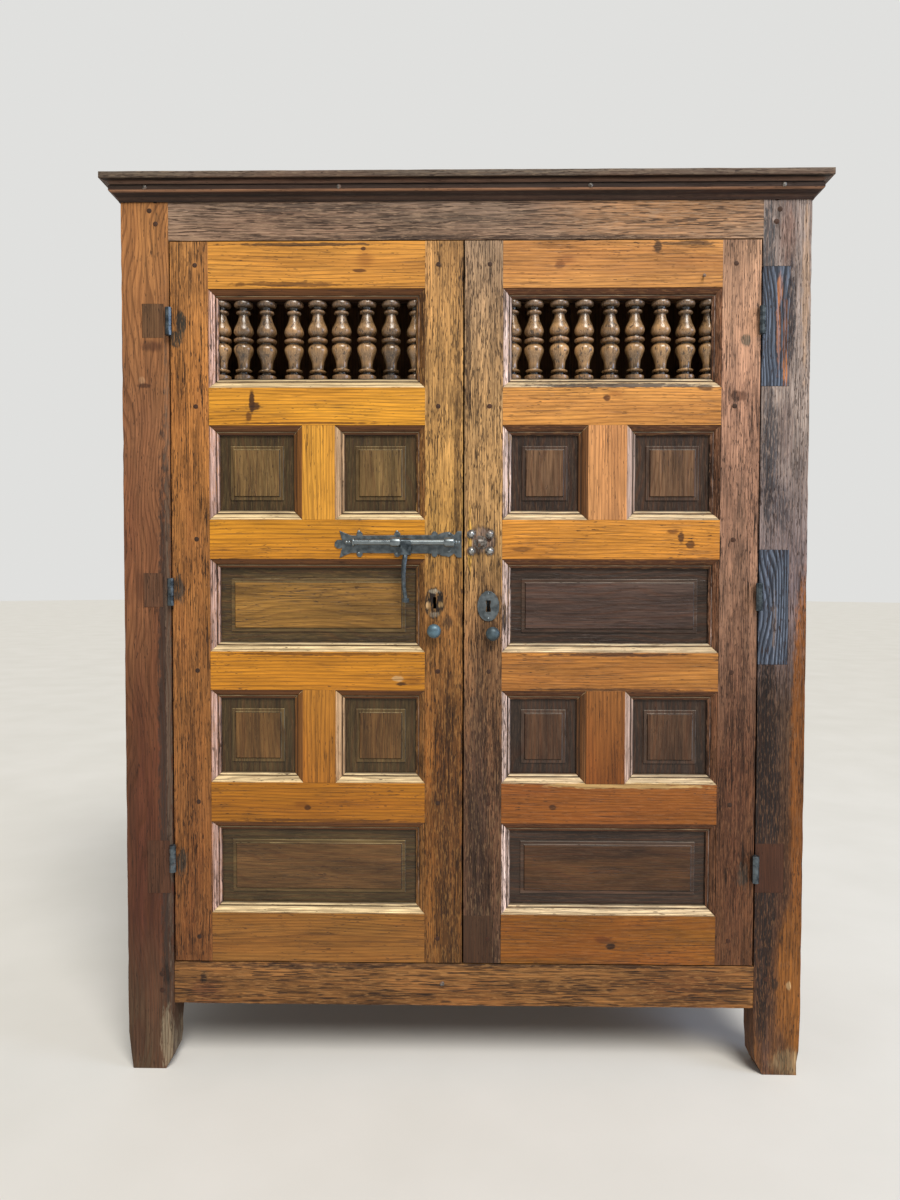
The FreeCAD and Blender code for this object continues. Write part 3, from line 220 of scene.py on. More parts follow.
@dataclass
class WornCopy:
    """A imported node, remade with rounded and uneven edges."""

    node: str
    wear: Wear

    def cross_cuts(self) -> None:
        """Cut the mesh across its longest side, so that its edges can be uneven."""
        low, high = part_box(self.node)
        size = high - low
        axis = max(range(3), key=lambda number: size[number])
        count = int(size[axis] / (self.wear.cut * MM))
        for number in range(1, count):
            place = [0.0, 0.0, 0.0]
            normal = [0.0, 0.0, 0.0]
            place[axis] = low[axis] + size[axis] * number / count
            normal[axis] = 1.0
            bpy.ops.mesh.select_all(action="SELECT")
            bpy.ops.mesh.bisect(plane_co=place, plane_no=normal)

    def chew(self, mesh: bpy.types.Mesh) -> None:
        """Take a little, unevenly, off the mesh's sharp edges."""
        sides: dict[tuple[int, int], list[Vector]] = {}
        for face in mesh.polygons:
            for key in face.edge_keys:
                sides.setdefault(key, []).append(face.normal)
        sharp = set()
        for key, normals in sides.items():
            if len(normals) == 2 and normals[0].dot(normals[1]) < math.cos(SHARP_ANGLE):
                sharp.update(key)
        for index in sharp:
            vertex = mesh.vertices[index]
            broad = noise.noise(vertex.co / (self.wear.broad_cell * MM) + Vector((self.wear.seed, 0, 0)))
            fine = noise.noise(vertex.co / (self.wear.fine_cell * MM) + Vector((0, self.wear.seed, 0)))
            share = max(0.0, broad) + HALF * max(0.0, fine)
            vertex.co -= vertex.normal * min(share, 1.0) * self.wear.loss * MM

    def hold(self, mesh: bpy.types.Mesh) -> None:
        """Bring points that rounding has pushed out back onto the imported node's box."""
        low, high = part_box(self.node)
        for vertex in mesh.vertices:
            vertex.co = Vector(max(least, min(most, value))
                               for least, most, value in zip(low, high, vertex.co))

    def build(self) -> Piece:
        """Return the worn piece, without its finish."""
        piece = bpy.data.objects.new(self.node + "_worn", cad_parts[self.node].data.copy())
        bpy.context.scene.collection.objects.link(piece)
        select_only([piece])
        bpy.ops.object.mode_set(mode="EDIT")
        bpy.ops.mesh.select_all(action="SELECT")
        bpy.ops.mesh.remove_doubles(threshold=MERGE * MM)
        bpy.ops.mesh.dissolve_limited(angle_limit=LEVEL_ANGLE)
        bpy.ops.mesh.normals_make_consistent(inside=False)
        if self.wear.cut:
            self.cross_cuts()
        bpy.ops.object.mode_set(mode="OBJECT")
        if self.wear.loss:
            self.chew(piece.data)
        rounding = piece.modifiers.new("rounding", "BEVEL")
        rounding.width = self.wear.round_off * MM
        rounding.segments = self.wear.steps
        rounding.limit_method = "ANGLE"
        rounding.angle_limit = SHARP_ANGLE
        bpy.ops.object.modifier_apply(modifier=rounding.name)
        self.hold(piece.data)
        bpy.ops.object.shade_smooth_by_angle(angle=math.radians(self.wear.smooth_angle))
        even = piece.modifiers.new("even", "WEIGHTED_NORMAL")
        even.keep_sharp = True
        bpy.ops.object.modifier_apply(modifier=even.name)
        return piece


@dataclass
class Turning:
    """A round piece, turned or forged along one axis, and its outline as distances and radii."""

    name: str
    axis: Axis
    start: Point
    profile: Profile
    sides: int = 28
    way: int = 1
    ring: bool = False
    reach: float = 7.0

    def build(self) -> Piece:
        """Draw a disc out ring by ring, and return the piece without its finish."""
        axis = self.axis.value
        turn = [(0, math.pi / 2, 0), (math.pi / 2, 0, 0), (0, 0, 0)][axis]
        along, radius = self.profile[0]
        place = list(self.start)
        place[axis] += self.way * along
        bpy.ops.object.select_all(action="DESELECT")
        bpy.ops.mesh.primitive_circle_add(
            vertices=self.sides, radius=radius * MM, fill_type="NOTHING" if self.ring else "NGON",
            location=metres(place), rotation=turn)
        piece = bpy.context.object
        piece.name = self.name
        bpy.ops.object.transform_apply(location=True, rotation=True, scale=True)
        bpy.ops.object.mode_set(mode="EDIT")
        bpy.ops.mesh.select_all(action="SELECT")
        for (before, narrow), (after, wide) in zip(self.profile, self.profile[1:]):
            step = [0.0, 0.0, 0.0]
            step[axis] = self.way * (after - before) * MM
            place[axis] += self.way * (after - before)
            growth = [wide / narrow] * 3
            growth[axis] = 1.0
            bpy.ops.mesh.extrude_region_move(TRANSFORM_OT_translate={"value": step})
            bpy.ops.transform.resize(value=growth, center_override=metres(place))
        bpy.ops.mesh.select_all(action="SELECT")
        bpy.ops.mesh.remove_doubles(threshold=MERGE * MM)
        bpy.ops.mesh.normals_make_consistent(inside=False)
        bpy.ops.object.mode_set(mode="OBJECT")
        bpy.ops.object.shade_smooth_by_angle(angle=TURNED_ANGLE)
        self.mark_grooves(piece.data)
        return piece

    def mark_grooves(self, mesh: bpy.types.Mesh) -> None:
        """Store how far each point stands out beside its surroundings, for painted shade in the grooves and
        painted highlights on the swells.
        """
        axis = self.axis.value
        proud = mesh.attributes.new("proud", "FLOAT", "POINT")
        for vertex in mesh.vertices:
            along = self.way * (vertex.co[axis] / MM - self.start[axis])
            here = min(self.profile, key=lambda point: abs(point[0] - along))[1]
            near = max(out for far, out in self.profile if abs(far - along) < self.reach)
            proud.data[vertex.index].value = here / near


def twin(piece: Piece, shift: Point) -> Piece:
    """Return a copy of a piece, mesh and all, that lies aside by a shift in millimetres."""
    copy = bpy.data.objects.new(piece.name + "_twin", piece.data.copy())
    bpy.context.scene.collection.objects.link(copy)
    copy.data.transform(Matrix.Translation(metres(shift)))
    return copy


def join(pieces: list[Piece], name: str) -> Piece:
    """Return pieces of one kind as one object."""
    select_only(pieces)
    if len(pieces) > 1:
        bpy.ops.object.join()
    pieces[0].name = name
    return pieces[0]


def repeat(model: Turning, places: list[Point], name: str) -> Piece:
    """Turn one piece and set a copy of it at each other place.

    Args:
        model: the turning, standing at the first place.
        places: the places, in millimetres, the first one first.
        name: the name of the whole.

    Returns:
        All the copies as one object.
    """
    first = model.build()
    copies = [twin(first, tuple(there - here for there, here in zip(place, places[0])))
              for place in places[1:]]
    return join([first, *copies], name)


@dataclass(frozen=True)
class Spot:
    """A knot, stain or worn place on a wooden face, seen from the front."""

    across: float
    up: float
    half_width: float
    half_height: float
    tone: str
    strength: float = 0.8
    soft: float = 0.5
    ragged: float = 0.6


@dataclass(frozen=True)
class Cell:
    """One cell of a pattern on wood, across and along its fibres, and how many finer ones it has."""

    width: float
    length: float
    detail: float = 3.0


DRIFT_CELL = Cell(55, 380)
RAGGED_CELL = Cell(5, 20, 4.0)
RUBBED_CELL = Cell(2.6, 40, 4.0)
FIBRE_CELL = Cell(2.0, 55, 4.0)
BROAD_CELL = Cell(24, 240, 2.0)
PATCHY_CELL = Cell(45, 120)
SPLINTER_CELL = Cell(2.2, 20)
CRACK_CELL = Cell(7, 380, 2.0)
# Width of the slow noise that bends the rings, and the roughness of all noise on wood.
RING_BEND = 70
NOISE_ROUGHNESS = 0.6
# Part of its noise's range over which each pattern comes up.
DRIFT = Span(0.42, 0.75)
RUBBED = Span(0.36, 0.58)
FINE = Span(0.36, 0.64)
BROAD = Span(0.34, 0.66)
SPLINTERED = Span(0.54, 0.6)
PATCHY = Span(0.35, 0.65)
CRACKED = Span(0.44, 0.56)
MIDDLE = Span(0.3, 0.7)
# How far a noise is from its middle, at a crack's edge and inside it.
CRACK_EDGE = Span(0.02, 0.006)
# Directions: a side that looks up, which takes painted light, one that looks to the right, which takes a
# painted reflection, and any but the member's back.
UPWARD = Span(0.03, 0.22)
ASIDE = Span(0.05, 0.3)
NOT_BACK = Span(0.8, 0.4)
# Depths behind the face, in millimetres, where a moulding begins.
BEHIND = (0.25, 0.9)
# How proud of its surroundings a turned point is, and the light that it then has.
PROUD = Span(0.54, 0.99)
PROUD_LIGHT = (0.03, 1.45)
# Least share of the painted light and reflection on a moulding where a streaky noise thins it.
RUBBED_LEAST = 0.62
# Flecks: how far patches thin them, the limit of their noise, its range, soft edge and strength.
FLECK_PATCH = 0.05
FLECK_LIMIT = 0.54
FLECK_RANGE = 0.16
FLECK_EDGE = 0.035
FLECK_STRENGTH = 0.76
# Splinters: how much lighter than the wood, and how much of that shows through their own tone.
SPLINTER_LIGHT = 1.5
SPLINTER_SHARE = 0.65
# How deep flecks and cracks are cut beside the fibres' height, and that height in millimetres.
FLECK_CUT = -1.0
CRACK_CUT = -2.0
FIBRE_HEIGHT = 0.8
# How far the gloss of wood and iron strays from its middle.
WOOD_GLOSS = (-0.08, 0.12)
IRON_GLOSS = (-0.05, 0.1)
COAT_ROUGHNESS = 0.3


@dataclass(frozen=True)
class Wood:
    """A kind of old wood, as the eye sees it on one group of members.

    Tones are heights and colours, which also paint light, lighter towards the top; bands are depths behind
    the face and levels of painted light and shade. Cells, spacings and depths are in millimetres.
    """

    name: str
    grain: Axis
    tones: tuple[tuple[float, str], ...]
    tint: str = "#7a3f1c"
    tint_share: float = 0.25
    contrast: float = 0.18
    ring_tone: str = "#4a2812"
    ring_spacing: float = 7.0
    ring_depth: float = 0.35
    ring_warp: float = 5.0
    ring_reach: float = 500.0
    ring_width: float = 0.16
    fibre_depth: float = 0.22
    fleck_width: float = 1.8
    fleck_length: float = 16.0
    fleck_tone: str = "#2e1c12"
    fleck_share: float = 0.3
    crack_share: float = 0.5
    crack_tone: str = "#24150c"
    worn_tone: str = "#c9ad88"
    worn_share: float = 0.0
    roughness: float = 0.55
    bump: float = 0.5
    coat: float = 0.0
    shift: float = 0.0
    specular: float = 0.28
    grooves: bool = False
    face: float = -235.0
    bands: Profile = ()
    # recess_tone is the mouldings' darker brown, which also stands in for their shade; the next two are
    # painted light on upward sides and a painted reflection on sides that face right.
    recess_tone: str = "#6b4428"
    painted_ledge_light: str = "#e0c592"
    painted_flank_reflection: str = "#a98d80"
    spots: tuple[Spot, ...] = ()

    def cloud(self, tree: Tree, place: Socket, cell: Cell) -> Socket:
        """Add noise whose cells have a real size.

        Args:
            tree: the material's node tree.
            place: the object coordinates.
            cell: the size of its cells.

        Returns:
            The noise, near one half on average.
        """
        scale = [1 / (cell.width * MM)] * 3
        scale[self.grain.value] = 1 / (cell.length * MM)
        cells = add_node(tree, "Mapping", {"Scale": scale, "Location": [self.shift] * 3}, {"Vector": place})
        return add_node(tree, "TexNoise",
                        {"Scale": 1.0, "Detail": cell.detail, "Roughness": NOISE_ROUGHNESS},
                        {"Vector": cells}).outputs[0]

    def spot_reach(self, tree: Tree, place: Socket, ragged: Socket, spot: Spot) -> Socket:
        """Return 1 inside a spot and 0 outside it, with a soft and ragged edge."""
        scale = [1 / (spot.half_width * MM), 0, 1 / (spot.half_height * MM)]
        shift = [-spot.across / spot.half_width, 0, -spot.up / spot.half_height]
        local = add_node(tree, "Mapping", {"Scale": scale, "Location": shift}, {"Vector": place})
        away = add_node(tree, "VectorMath", links={0: local}, operation="LENGTH")
        rough = add_node(tree, "Math", {1: spot.ragged}, {0: ragged, 2: away.outputs["Value"]},
                         operation="MULTIPLY_ADD")
        rim = 1.0 + spot.ragged * HALF
        return add_node(tree, "MapRange", Span(rim, rim - spot.soft).onto(), {"Value": rough},
                        interpolation_type="SMOOTHSTEP").outputs[0]

    def recess(self, tree: Tree, place: Socket, axes: Node,
               facing: Node, front: Node, colour: Node) -> Node:
        """Colour the mouldings, which lie behind the member's face, with painted light, shade and
        reflection.

        Args:
            tree: the material's node tree.
            place: the object coordinates.
            axes: the same, split into three.
            facing: the surface's direction, split into three.
            front: the node that gives 0 on the member's back and 1 elsewhere.
            colour: the node whose third output colours the face.

        Returns:
            The node whose third output colours face and mouldings.
        """
        reach = self.bands[-1][0]
        depth = add_node(tree, "MapRange", Span(self.face * MM, (self.face + reach) * MM).onto(),
                         {"Value": axes.outputs[1]})
        # Painted shade and dirt in the quirks and painted highlights on the arrises, set by depth behind
        # the face.
        shade_and_dirt = add_node(tree, "ValToRGB", links={0: depth})
        set_stops(shade_and_dirt, [(far / reach, (level, level, level, 1)) for far, level in self.bands])
        rubbed_light = add_node(tree, "MapRange", RUBBED.onto(RUBBED_LEAST),
                          {"Value": self.cloud(tree, place, RUBBED_CELL)})
        paint = add_node(tree, "RGB")
        paint.outputs[0].default_value = linear(self.recess_tone)
        # Upward sides take painted light and right-facing sides a painted reflection, thinned in patches by
        # noise.
        for turned, output, code in ((ASIDE, 0, self.painted_flank_reflection), (UPWARD, 2, self.painted_ledge_light)):
            toward = add_node(tree, "MapRange", turned.onto(), {"Value": facing.outputs[output]})
            share = add_node(tree, "Math", links={0: toward, 1: rubbed_light}, operation="MULTIPLY")
            paint = add_node(tree, "Mix", {7: linear(code)}, {0: share, 6: paint},
                             data_type="RGBA").outputs[2]
        shaded = add_node(tree, "Mix", {0: 1.0}, {6: paint, 7: shade_and_dirt}, data_type="RGBA",
                          blend_type="MULTIPLY")
        past_face = Span(*((self.face + depth) * MM for depth in BEHIND))
        behind = add_node(tree, "MapRange", past_face.onto(), {"Value": axes.outputs[1]})
        seen = add_node(tree, "Math", links={0: behind, 1: front}, operation="MULTIPLY")
        return add_node(tree, "Mix", links={0: seen, 6: colour.outputs[2],
                                            7: shaded.outputs[2]}, data_type="RGBA")

    def build(self) -> bpy.types.Material:
        """Return the finished wood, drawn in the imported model's own millimetres."""
        material, coordinates = blank_material(self.name)
        tree = material.node_tree
        place = coordinates.outputs["Object"]
        axes = add_node(tree, "SeparateXYZ", links={0: place})

        # The tone of each height: the wood's own colour as daylight and wear have left it, with painted
        # light that makes it lighter towards the top and darker towards the foot.
        foot, head = self.tones[0][0], self.tones[-1][0]
        height = add_node(tree, "MapRange", Span(foot * MM, head * MM).onto(), {"Value": axes.outputs[2]})
        tone = add_node(tree, "ValToRGB", links={0: height})
        set_stops(tone, [((up - foot) / (head - foot), linear(code)) for up, code in self.tones])
        redness = add_node(tree, "MapRange", DRIFT.onto(end=self.tint_share),
                           {"Value": self.cloud(tree, place, DRIFT_CELL)})
        colour = add_node(tree, "Mix", {7: linear(self.tint)}, {0: redness, 6: tone}, data_type="RGBA")

        # What lies behind the face: painted shade with dirt in the quirks, painted light on upward sides
        # and a painted reflection on sides that face right.
        facing = add_node(tree, "SeparateXYZ", links={0: coordinates.outputs["Normal"]})
        front = add_node(tree, "MapRange", NOT_BACK.onto(), {"Value": facing.outputs[1]})
        if self.bands:
            colour = self.recess(tree, place, axes, facing, front, colour)

        # Knots, stains and scars, each in its own place.
        ragged = self.cloud(tree, place, RAGGED_CELL) if self.spots else None
        for spot in self.spots:
            reach = self.spot_reach(tree, place, ragged, spot)
            shown = add_node(tree, "Math", links={0: reach, 1: front}, operation="MULTIPLY")
            part = add_node(tree, "Math", {1: spot.strength}, {0: shown}, operation="MULTIPLY")
            colour = add_node(tree, "Mix", {7: linear(spot.tone)},
                              {0: part, 6: colour.outputs[2]}, data_type="RGBA")

        # Growth rings cut along the board, bent by slow noise into long arches.
        across = 2 if self.grain is Axis.X else 0
        bend = self.cloud(tree, place, Cell(RING_BEND, self.ring_reach, 1.0))
        bent = add_node(tree, "Math", {1: self.ring_warp}, {0: bend}, operation="MULTIPLY")
        count = add_node(tree, "Math", {1: 1 / (self.ring_spacing * MM)},
                         {0: axes.outputs[across], 2: bent}, operation="MULTIPLY_ADD")
        cycle = add_node(tree, "Math", links={0: count}, operation="FRACT")
        ring = add_node(tree, "ValToRGB", links={0: cycle})
        full = (self.ring_depth, self.ring_depth, self.ring_depth, 1)
        none = (0, 0, 0, 1)
        set_stops(ring, [(0.0, full), (self.ring_width * HALF, full), (self.ring_width, none),
                         (1 - 2 * self.ring_width, none), (1.0, full)])
        colour = add_node(tree, "Mix", {7: linear(self.ring_tone)},
                          {0: ring, 6: colour.outputs[2]}, data_type="RGBA")

        # Fibres, and slower light and dark along the grain.
        fibre = self.cloud(tree, place, FIBRE_CELL)
        fine = add_node(tree, "MapRange", FINE.onto(1 - self.fibre_depth, 1 + self.fibre_depth),
                        {"Value": fibre})
        broad = add_node(tree, "MapRange", BROAD.onto(1 - self.contrast, 1 + self.contrast),
                         {"Value": self.cloud(tree, place, BROAD_CELL)})
        shade = add_node(tree, "Math", links={0: fine, 1: broad}, operation="MULTIPLY")
        # On turned pieces, painted shade darkens the grooves and a painted highlight lightens the swells.
        if self.grooves:
            proud = add_node(tree, "Attribute", attribute_name="proud")
            light = add_node(tree, "MapRange", PROUD.onto(*PROUD_LIGHT), {"Value": proud.outputs["Fac"]})
            shade = add_node(tree, "Math", links={0: shade, 1: light}, operation="MULTIPLY")
        colour = add_node(tree, "Mix", {0: 1.0}, {6: colour.outputs[2], 7: shade},
                          data_type="RGBA", blend_type="MULTIPLY")

        # Pale splinters where the surface has worn away.
        patchy = self.cloud(tree, place, PATCHY_CELL)
        worn = add_node(tree, "MapRange", SPLINTERED.onto(end=self.worn_share),
                        {"Value": self.cloud(tree, place, SPLINTER_CELL)})
        lit = add_node(tree, "VectorMath", {"Scale": SPLINTER_LIGHT}, {0: tone}, operation="SCALE")
        splinter = add_node(tree, "Mix", {0: SPLINTER_SHARE, 6: linear(self.worn_tone)},
                            {7: lit}, data_type="RGBA")
        colour = add_node(tree, "Mix", links={0: worn, 6: colour.outputs[2],
                                              7: splinter.outputs[2]}, data_type="RGBA")

        # Dark flecks in the open pores, thicker in some places than in others.
        pores = self.cloud(tree, place, Cell(self.fleck_width, self.fleck_length, 1.0))
        limit = add_node(tree, "MapRange", PATCHY.onto(FLECK_PATCH, -FLECK_PATCH), {"Value": patchy})
        near = add_node(tree, "Math", links={0: pores, 1: limit}, operation="SUBTRACT")
        edge = FLECK_LIMIT + FLECK_RANGE * (1 - self.fleck_share)
        fleck = add_node(tree, "MapRange", Span(edge, edge + FLECK_EDGE).onto(end=FLECK_STRENGTH),
                         {"Value": near})

        # Long thin drying cracks that follow the grain.
        split = add_node(tree, "Math", {1: -HALF}, {0: self.cloud(tree, place, CRACK_CELL)},
                         operation="ADD")
        beside = add_node(tree, "Math", links={0: split}, operation="ABSOLUTE")
        line = add_node(tree, "MapRange", CRACK_EDGE.onto(end=self.crack_share), {"Value": beside})
        open_here = add_node(tree, "MapRange", CRACKED.onto(), {"Value": patchy})
        crack = add_node(tree, "Math", links={0: line, 1: open_here}, operation="MULTIPLY")

        # Both are dark and cut in, while the fibres stand up a little.
        relief = fibre
        for cut, depth, code in ((fleck, FLECK_CUT, self.fleck_tone), (crack, CRACK_CUT, self.crack_tone)):
            colour = add_node(tree, "Mix", {7: linear(code)},
                              {0: cut, 6: colour.outputs[2]}, data_type="RGBA")
            relief = add_node(tree, "Math", {1: depth}, {0: cut, 2: relief},
                              operation="MULTIPLY_ADD").outputs[0]
        bump = add_node(tree, "Bump", {"Strength": self.bump, "Distance": FIBRE_HEIGHT * MM},
                        {"Height": relief})
        gloss = MIDDLE.onto(*(self.roughness + away for away in WOOD_GLOSS))
        dull = add_node(tree, "MapRange", gloss, {"Value": fibre})
        shader = add_node(
            tree, "BsdfPrincipled",
            {"Coat Weight": self.coat, "Coat Roughness": COAT_ROUGHNESS,
             "Specular IOR Level": self.specular},
            {"Base Color": colour.outputs[2], "Roughness": dull, "Normal": bump})
        add_node(tree, "OutputMaterial", links={0: shader})
        return material


@dataclass(frozen=True)
class Iron:
    """A kind of old iron, forged, filed or rusted, with pits of a size in millimetres."""

    name: str
    tone: str
    dark_tone: str
    rust_tone: str = "#5a3a26"
    rust_share: float = 0.15
    pit_size: float = 3.0
    roughness: float = 0.42
    metallic: float = 0.85
    bump: float = 0.4
    pit_depth: float = 0.5
    pit_range: tuple[float, float] = (0.32, 0.66)
    rust_size: float = 14.0
    rust_edge: tuple[float, float] = (0.66, 0.74)
    rust_spread: float = 0.3

    def build(self) -> bpy.types.Material:
        """Return the finished iron, with hammered unevenness and rust in patches."""
        material, coordinates = blank_material(self.name)
        tree = material.node_tree
        place = coordinates.outputs["Object"]
        broad = add_node(tree, "TexNoise", {"Scale": 1 / (self.rust_size * MM), "Detail": 4.0},
                         {"Vector": place})
        pits = add_node(tree, "TexNoise", {"Scale": 1 / (self.pit_size * MM), "Detail": 2.0,
                                           "Roughness": HALF}, {"Vector": place})
        colour = add_node(tree, "ValToRGB", links={0: pits})
        set_stops(colour, list(zip(self.pit_range, map(linear, (self.dark_tone, self.tone)))))
        rusted = Span(*(edge - self.rust_spread * self.rust_share for edge in self.rust_edge))
        rust = add_node(tree, "MapRange", rusted.onto(), {"Value": broad})
        share = add_node(tree, "Math", {1: min(1.0, 2 * self.rust_share)}, {0: rust}, operation="MULTIPLY")
        colour = add_node(tree, "Mix", {7: linear(self.rust_tone)}, {0: share, 6: colour}, data_type="RGBA")
        bare = add_node(tree, "Math", {0: self.metallic}, {1: share}, operation="SUBTRACT", use_clamp=True)
        gloss = MIDDLE.onto(*(self.roughness + away for away in IRON_GLOSS))
        dull = add_node(tree, "MapRange", gloss, {"Value": pits})
        bump = add_node(tree, "Bump", {"Strength": self.bump, "Distance": self.pit_depth * MM},
                        {"Height": pits})
        shader = add_node(tree, "BsdfPrincipled", links={
            "Base Color": colour.outputs[2], "Metallic": bare,
            "Roughness": dull, "Normal": bump})
        add_node(tree, "OutputMaterial", links={0: shader})
        return material


# Painted light and shade, with dirt, on a stuck moulding and on a panel's stepped edge: levels above one
# are painted highlights, low ones painted shade and dirt; depth behind the face, level.
MOULDING_BANDS = (
    (0.0, 0.5), (1.7, 0.3), (2.0, 1.25), (2.3, 1.25), (2.7, 0.42), (3.1, 1.0), (4.6, 1.15), (7.4, 0.95),
    (8.2, 0.32), (8.75, 0.32), (9.0, 1.1), (10.0, 0.8), (10.6, 0.16), (15.0, 0.14))
PANEL_BANDS = (
    (0.0, 1.0), (0.4, 0.9), (0.8, 0.12), (2.0, 0.2), (2.4, 1.7), (2.85, 1.7), (3.3, 0.15), (4.5, 0.25),
    (5.1, 1.05), (15.0, 0.95))
# Left post: hand-planed pine under old wax, so a low sheen over red and brown rings.
LEFT_POST = Wood("pine_hand_planed_waxed_left_post", Axis.Z, ((60, "#53402e"), (300, "#4e2d1e"),
    (700, "#653f27"), (1000, "#885b3a"), (1250, "#906140"), (1600, "#b27a45")), tint="#5a261c",
    tint_share=0.5, ring_spacing=8, ring_depth=0.5, ring_warp=11, ring_reach=260, fibre_depth=0.24,
    fleck_share=0.16, spots=(Spot(-572, 640, 17, 700, "#332a25", 0.85, 0.4, 1.6),
    Spot(-574, 186, 12, 26, "#1b1512", 0.85, 0.5, 1.4), Spot(-566, 800, 7, 760, "#6d5a4a", 0.55, 0.5, 2),
    Spot(-574, 60, 16, 75, "#8f8069", 0.75, 0.5, 1.4), Spot(-612, 1332, 8, 9, "#b08560", 0.8, 0.4, 1.2),
    Spot(-608, 1322, 16, 6, "#40261a", 0.75, 0.5, 1.2), Spot(-592, 1396, 30, 14, "#4a2a1c", 0.7, 0.7, 0.8),
    Spot(-620, 940, 14, 50, "#4a2a1c", 0.55, 0.7, 0.8), Spot(-630, 60, 20, 60, "#4a2c1e", 0.6, 0.6, 0.8)))
# Right post: pine blackened by smoke and hands on its inner side, so a dull, mottled
# skin with pale torn fibres, and waxed orange wood along its outer edge.
RIGHT_POST = Wood("pine_hand_planed_smoked_right_post", Axis.Z, ((60, "#6f4418"), (300, "#5b3514"),
    (700, "#4e3a2a"), (950, "#7c6e70"), (1250, "#9a8b82"), (1600, "#a09088")), tint="#3b3234",
    tint_share=0.75, contrast=0.36, fibre_depth=0.42, fleck_share=0.54, worn_tone="#a97f5c", worn_share=0.4,
    shift=3.7, spots=(Spot(577, 500, 33, 440, "#1d1716", 0.95, 0.4, 1.5),
    Spot(606, 1600, 22, 90, "#6b4a3c", 0.6, 0.7, 1.2), Spot(606, 1240, 22, 90, "#5a4a48", 0.6, 0.7, 1.4),
    Spot(640, 1500, 10, 200, "#b08a64", 0.5, 0.6, 1.6), Spot(646, 600, 26, 420, "#7d4a1c", 0.95, 0.3),
    Spot(632, 190, 34, 170, "#82501f", 0.9, 0.4, 0.7), Spot(615, 650, 2.5, 330, "#2a1a12", 0.8, 0.6, 0.9),
    Spot(628, 25, 40, 36, "#948262", 0.6, 0.6, 1), Spot(601, 178, 9, 14, "#2a1f18", 0.85, 0.5, 1.3),
    Spot(627, 175, 6, 10, "#b5966c", 0.8, 0.5, 1.3), Spot(571, 1575, 15, 110, "#2b3036", 0.85, 0.4, 1.7),
    Spot(612, 1450, 12, 120, "#2d3038", 0.8, 0.4, 1.7), Spot(578, 1180, 20, 160, "#2f3239", 0.8, 0.5, 1.7),
    Spot(600, 1090, 24, 50, "#34343a", 0.7, 0.5, 1.5), Spot(574, 110, 14, 60, "#2a1e18", 0.8, 0.5, 1.2)))
# Top rail: bare pine gone grey, so dry and matt, with close dark pores and one tan end.
TOP_RAIL = Wood("pine_hand_planed_greyed_top_rail", Axis.X, ((1594, "#8f7560"), (1699, "#857060")),
    contrast=0.3, fibre_depth=0.5, fleck_width=2.2, fleck_length=34, fleck_share=0.66, worn_tone="#b0906c",
    worn_share=0.5, shift=1.3, spots=(Spot(370, 1645, 300, 90, "#c38f60", 0.85, 0.9, 0.5),
    Spot(-300, 1655, 230, 14, "#4a4038", 0.6, 0.6, 1.7), Spot(-60, 1634, 160, 12, "#55483c", 0.5, 0.6, 1.7),
    Spot(60, 1598, 560, 6, "#2e2018", 0.75, 0.6, 1.6)))
# Bottom rail: pine split by feet and brooms, so rough, with long cracks and pale fibres.
BOTTOM_RAIL = Wood("pine_split_worn_bottom_rail", Axis.X, ((130, "#7a5128"), (212, "#82592f")),
    contrast=0.36, ring_spacing=11, fibre_depth=0.42, fleck_width=2.8, fleck_length=46, fleck_share=0.62,
    crack_share=0.95, worn_tone="#ab8656", worn_share=0.5, bump=1, shift=2.1,
    spots=(Spot(420, 170, 150, 60, "#593218", 0.5, 0.8), Spot(-500, 155, 50, 34, "#5a3222", 0.6, 0.8, 0.9),
    Spot(-502, 182, 9, 14, "#1e1611", 0.85, 0.5, 1.3), Spot(-300, 203, 220, 6, "#2a2019", 0.75, 0.6, 1.7),
    Spot(-40, 209, 540, 5, "#33231a", 0.7, 0.6, 1.7)))
# Hidden boards and framing: sawn pine gone brown by itself, so even, dry and matt.
CASE_BOARDS = Wood("pine_sawn_aged_case_boards", Axis.Z, ((0, "#6d4c30"), (900, "#7b5737"),
    (1700, "#86613f")), shift=5.1)
# The same for members that run to the back, and for those that lie level.
CASE_SIDE_RAILS = replace(CASE_BOARDS, name="pine_sawn_aged_case_side_rails", grain=Axis.Y, shift=5.7)
CASE_FLATS = replace(CASE_BOARDS, name="pine_sawn_aged_floor_and_shelf_boards", grain=Axis.X,
    tones=((0, "#5d4129"), (900, "#664830"), (1700, "#7b5c40")), shift=6.4)
# Repairs at the left: sawn walnut let into the post, so close, dark and without gloss.
PLAIN_REPAIR = Wood("walnut_sawn_aged_left_repairs", Axis.Z, ((340, "#4c3020"), (560, "#563626"),
    (900, "#644430"), (1480, "#6a4c31")), tint="#3a2820", tint_share=0.5, ring_spacing=5, ring_depth=0.4,
    fibre_depth=0.3, shift=7.2)
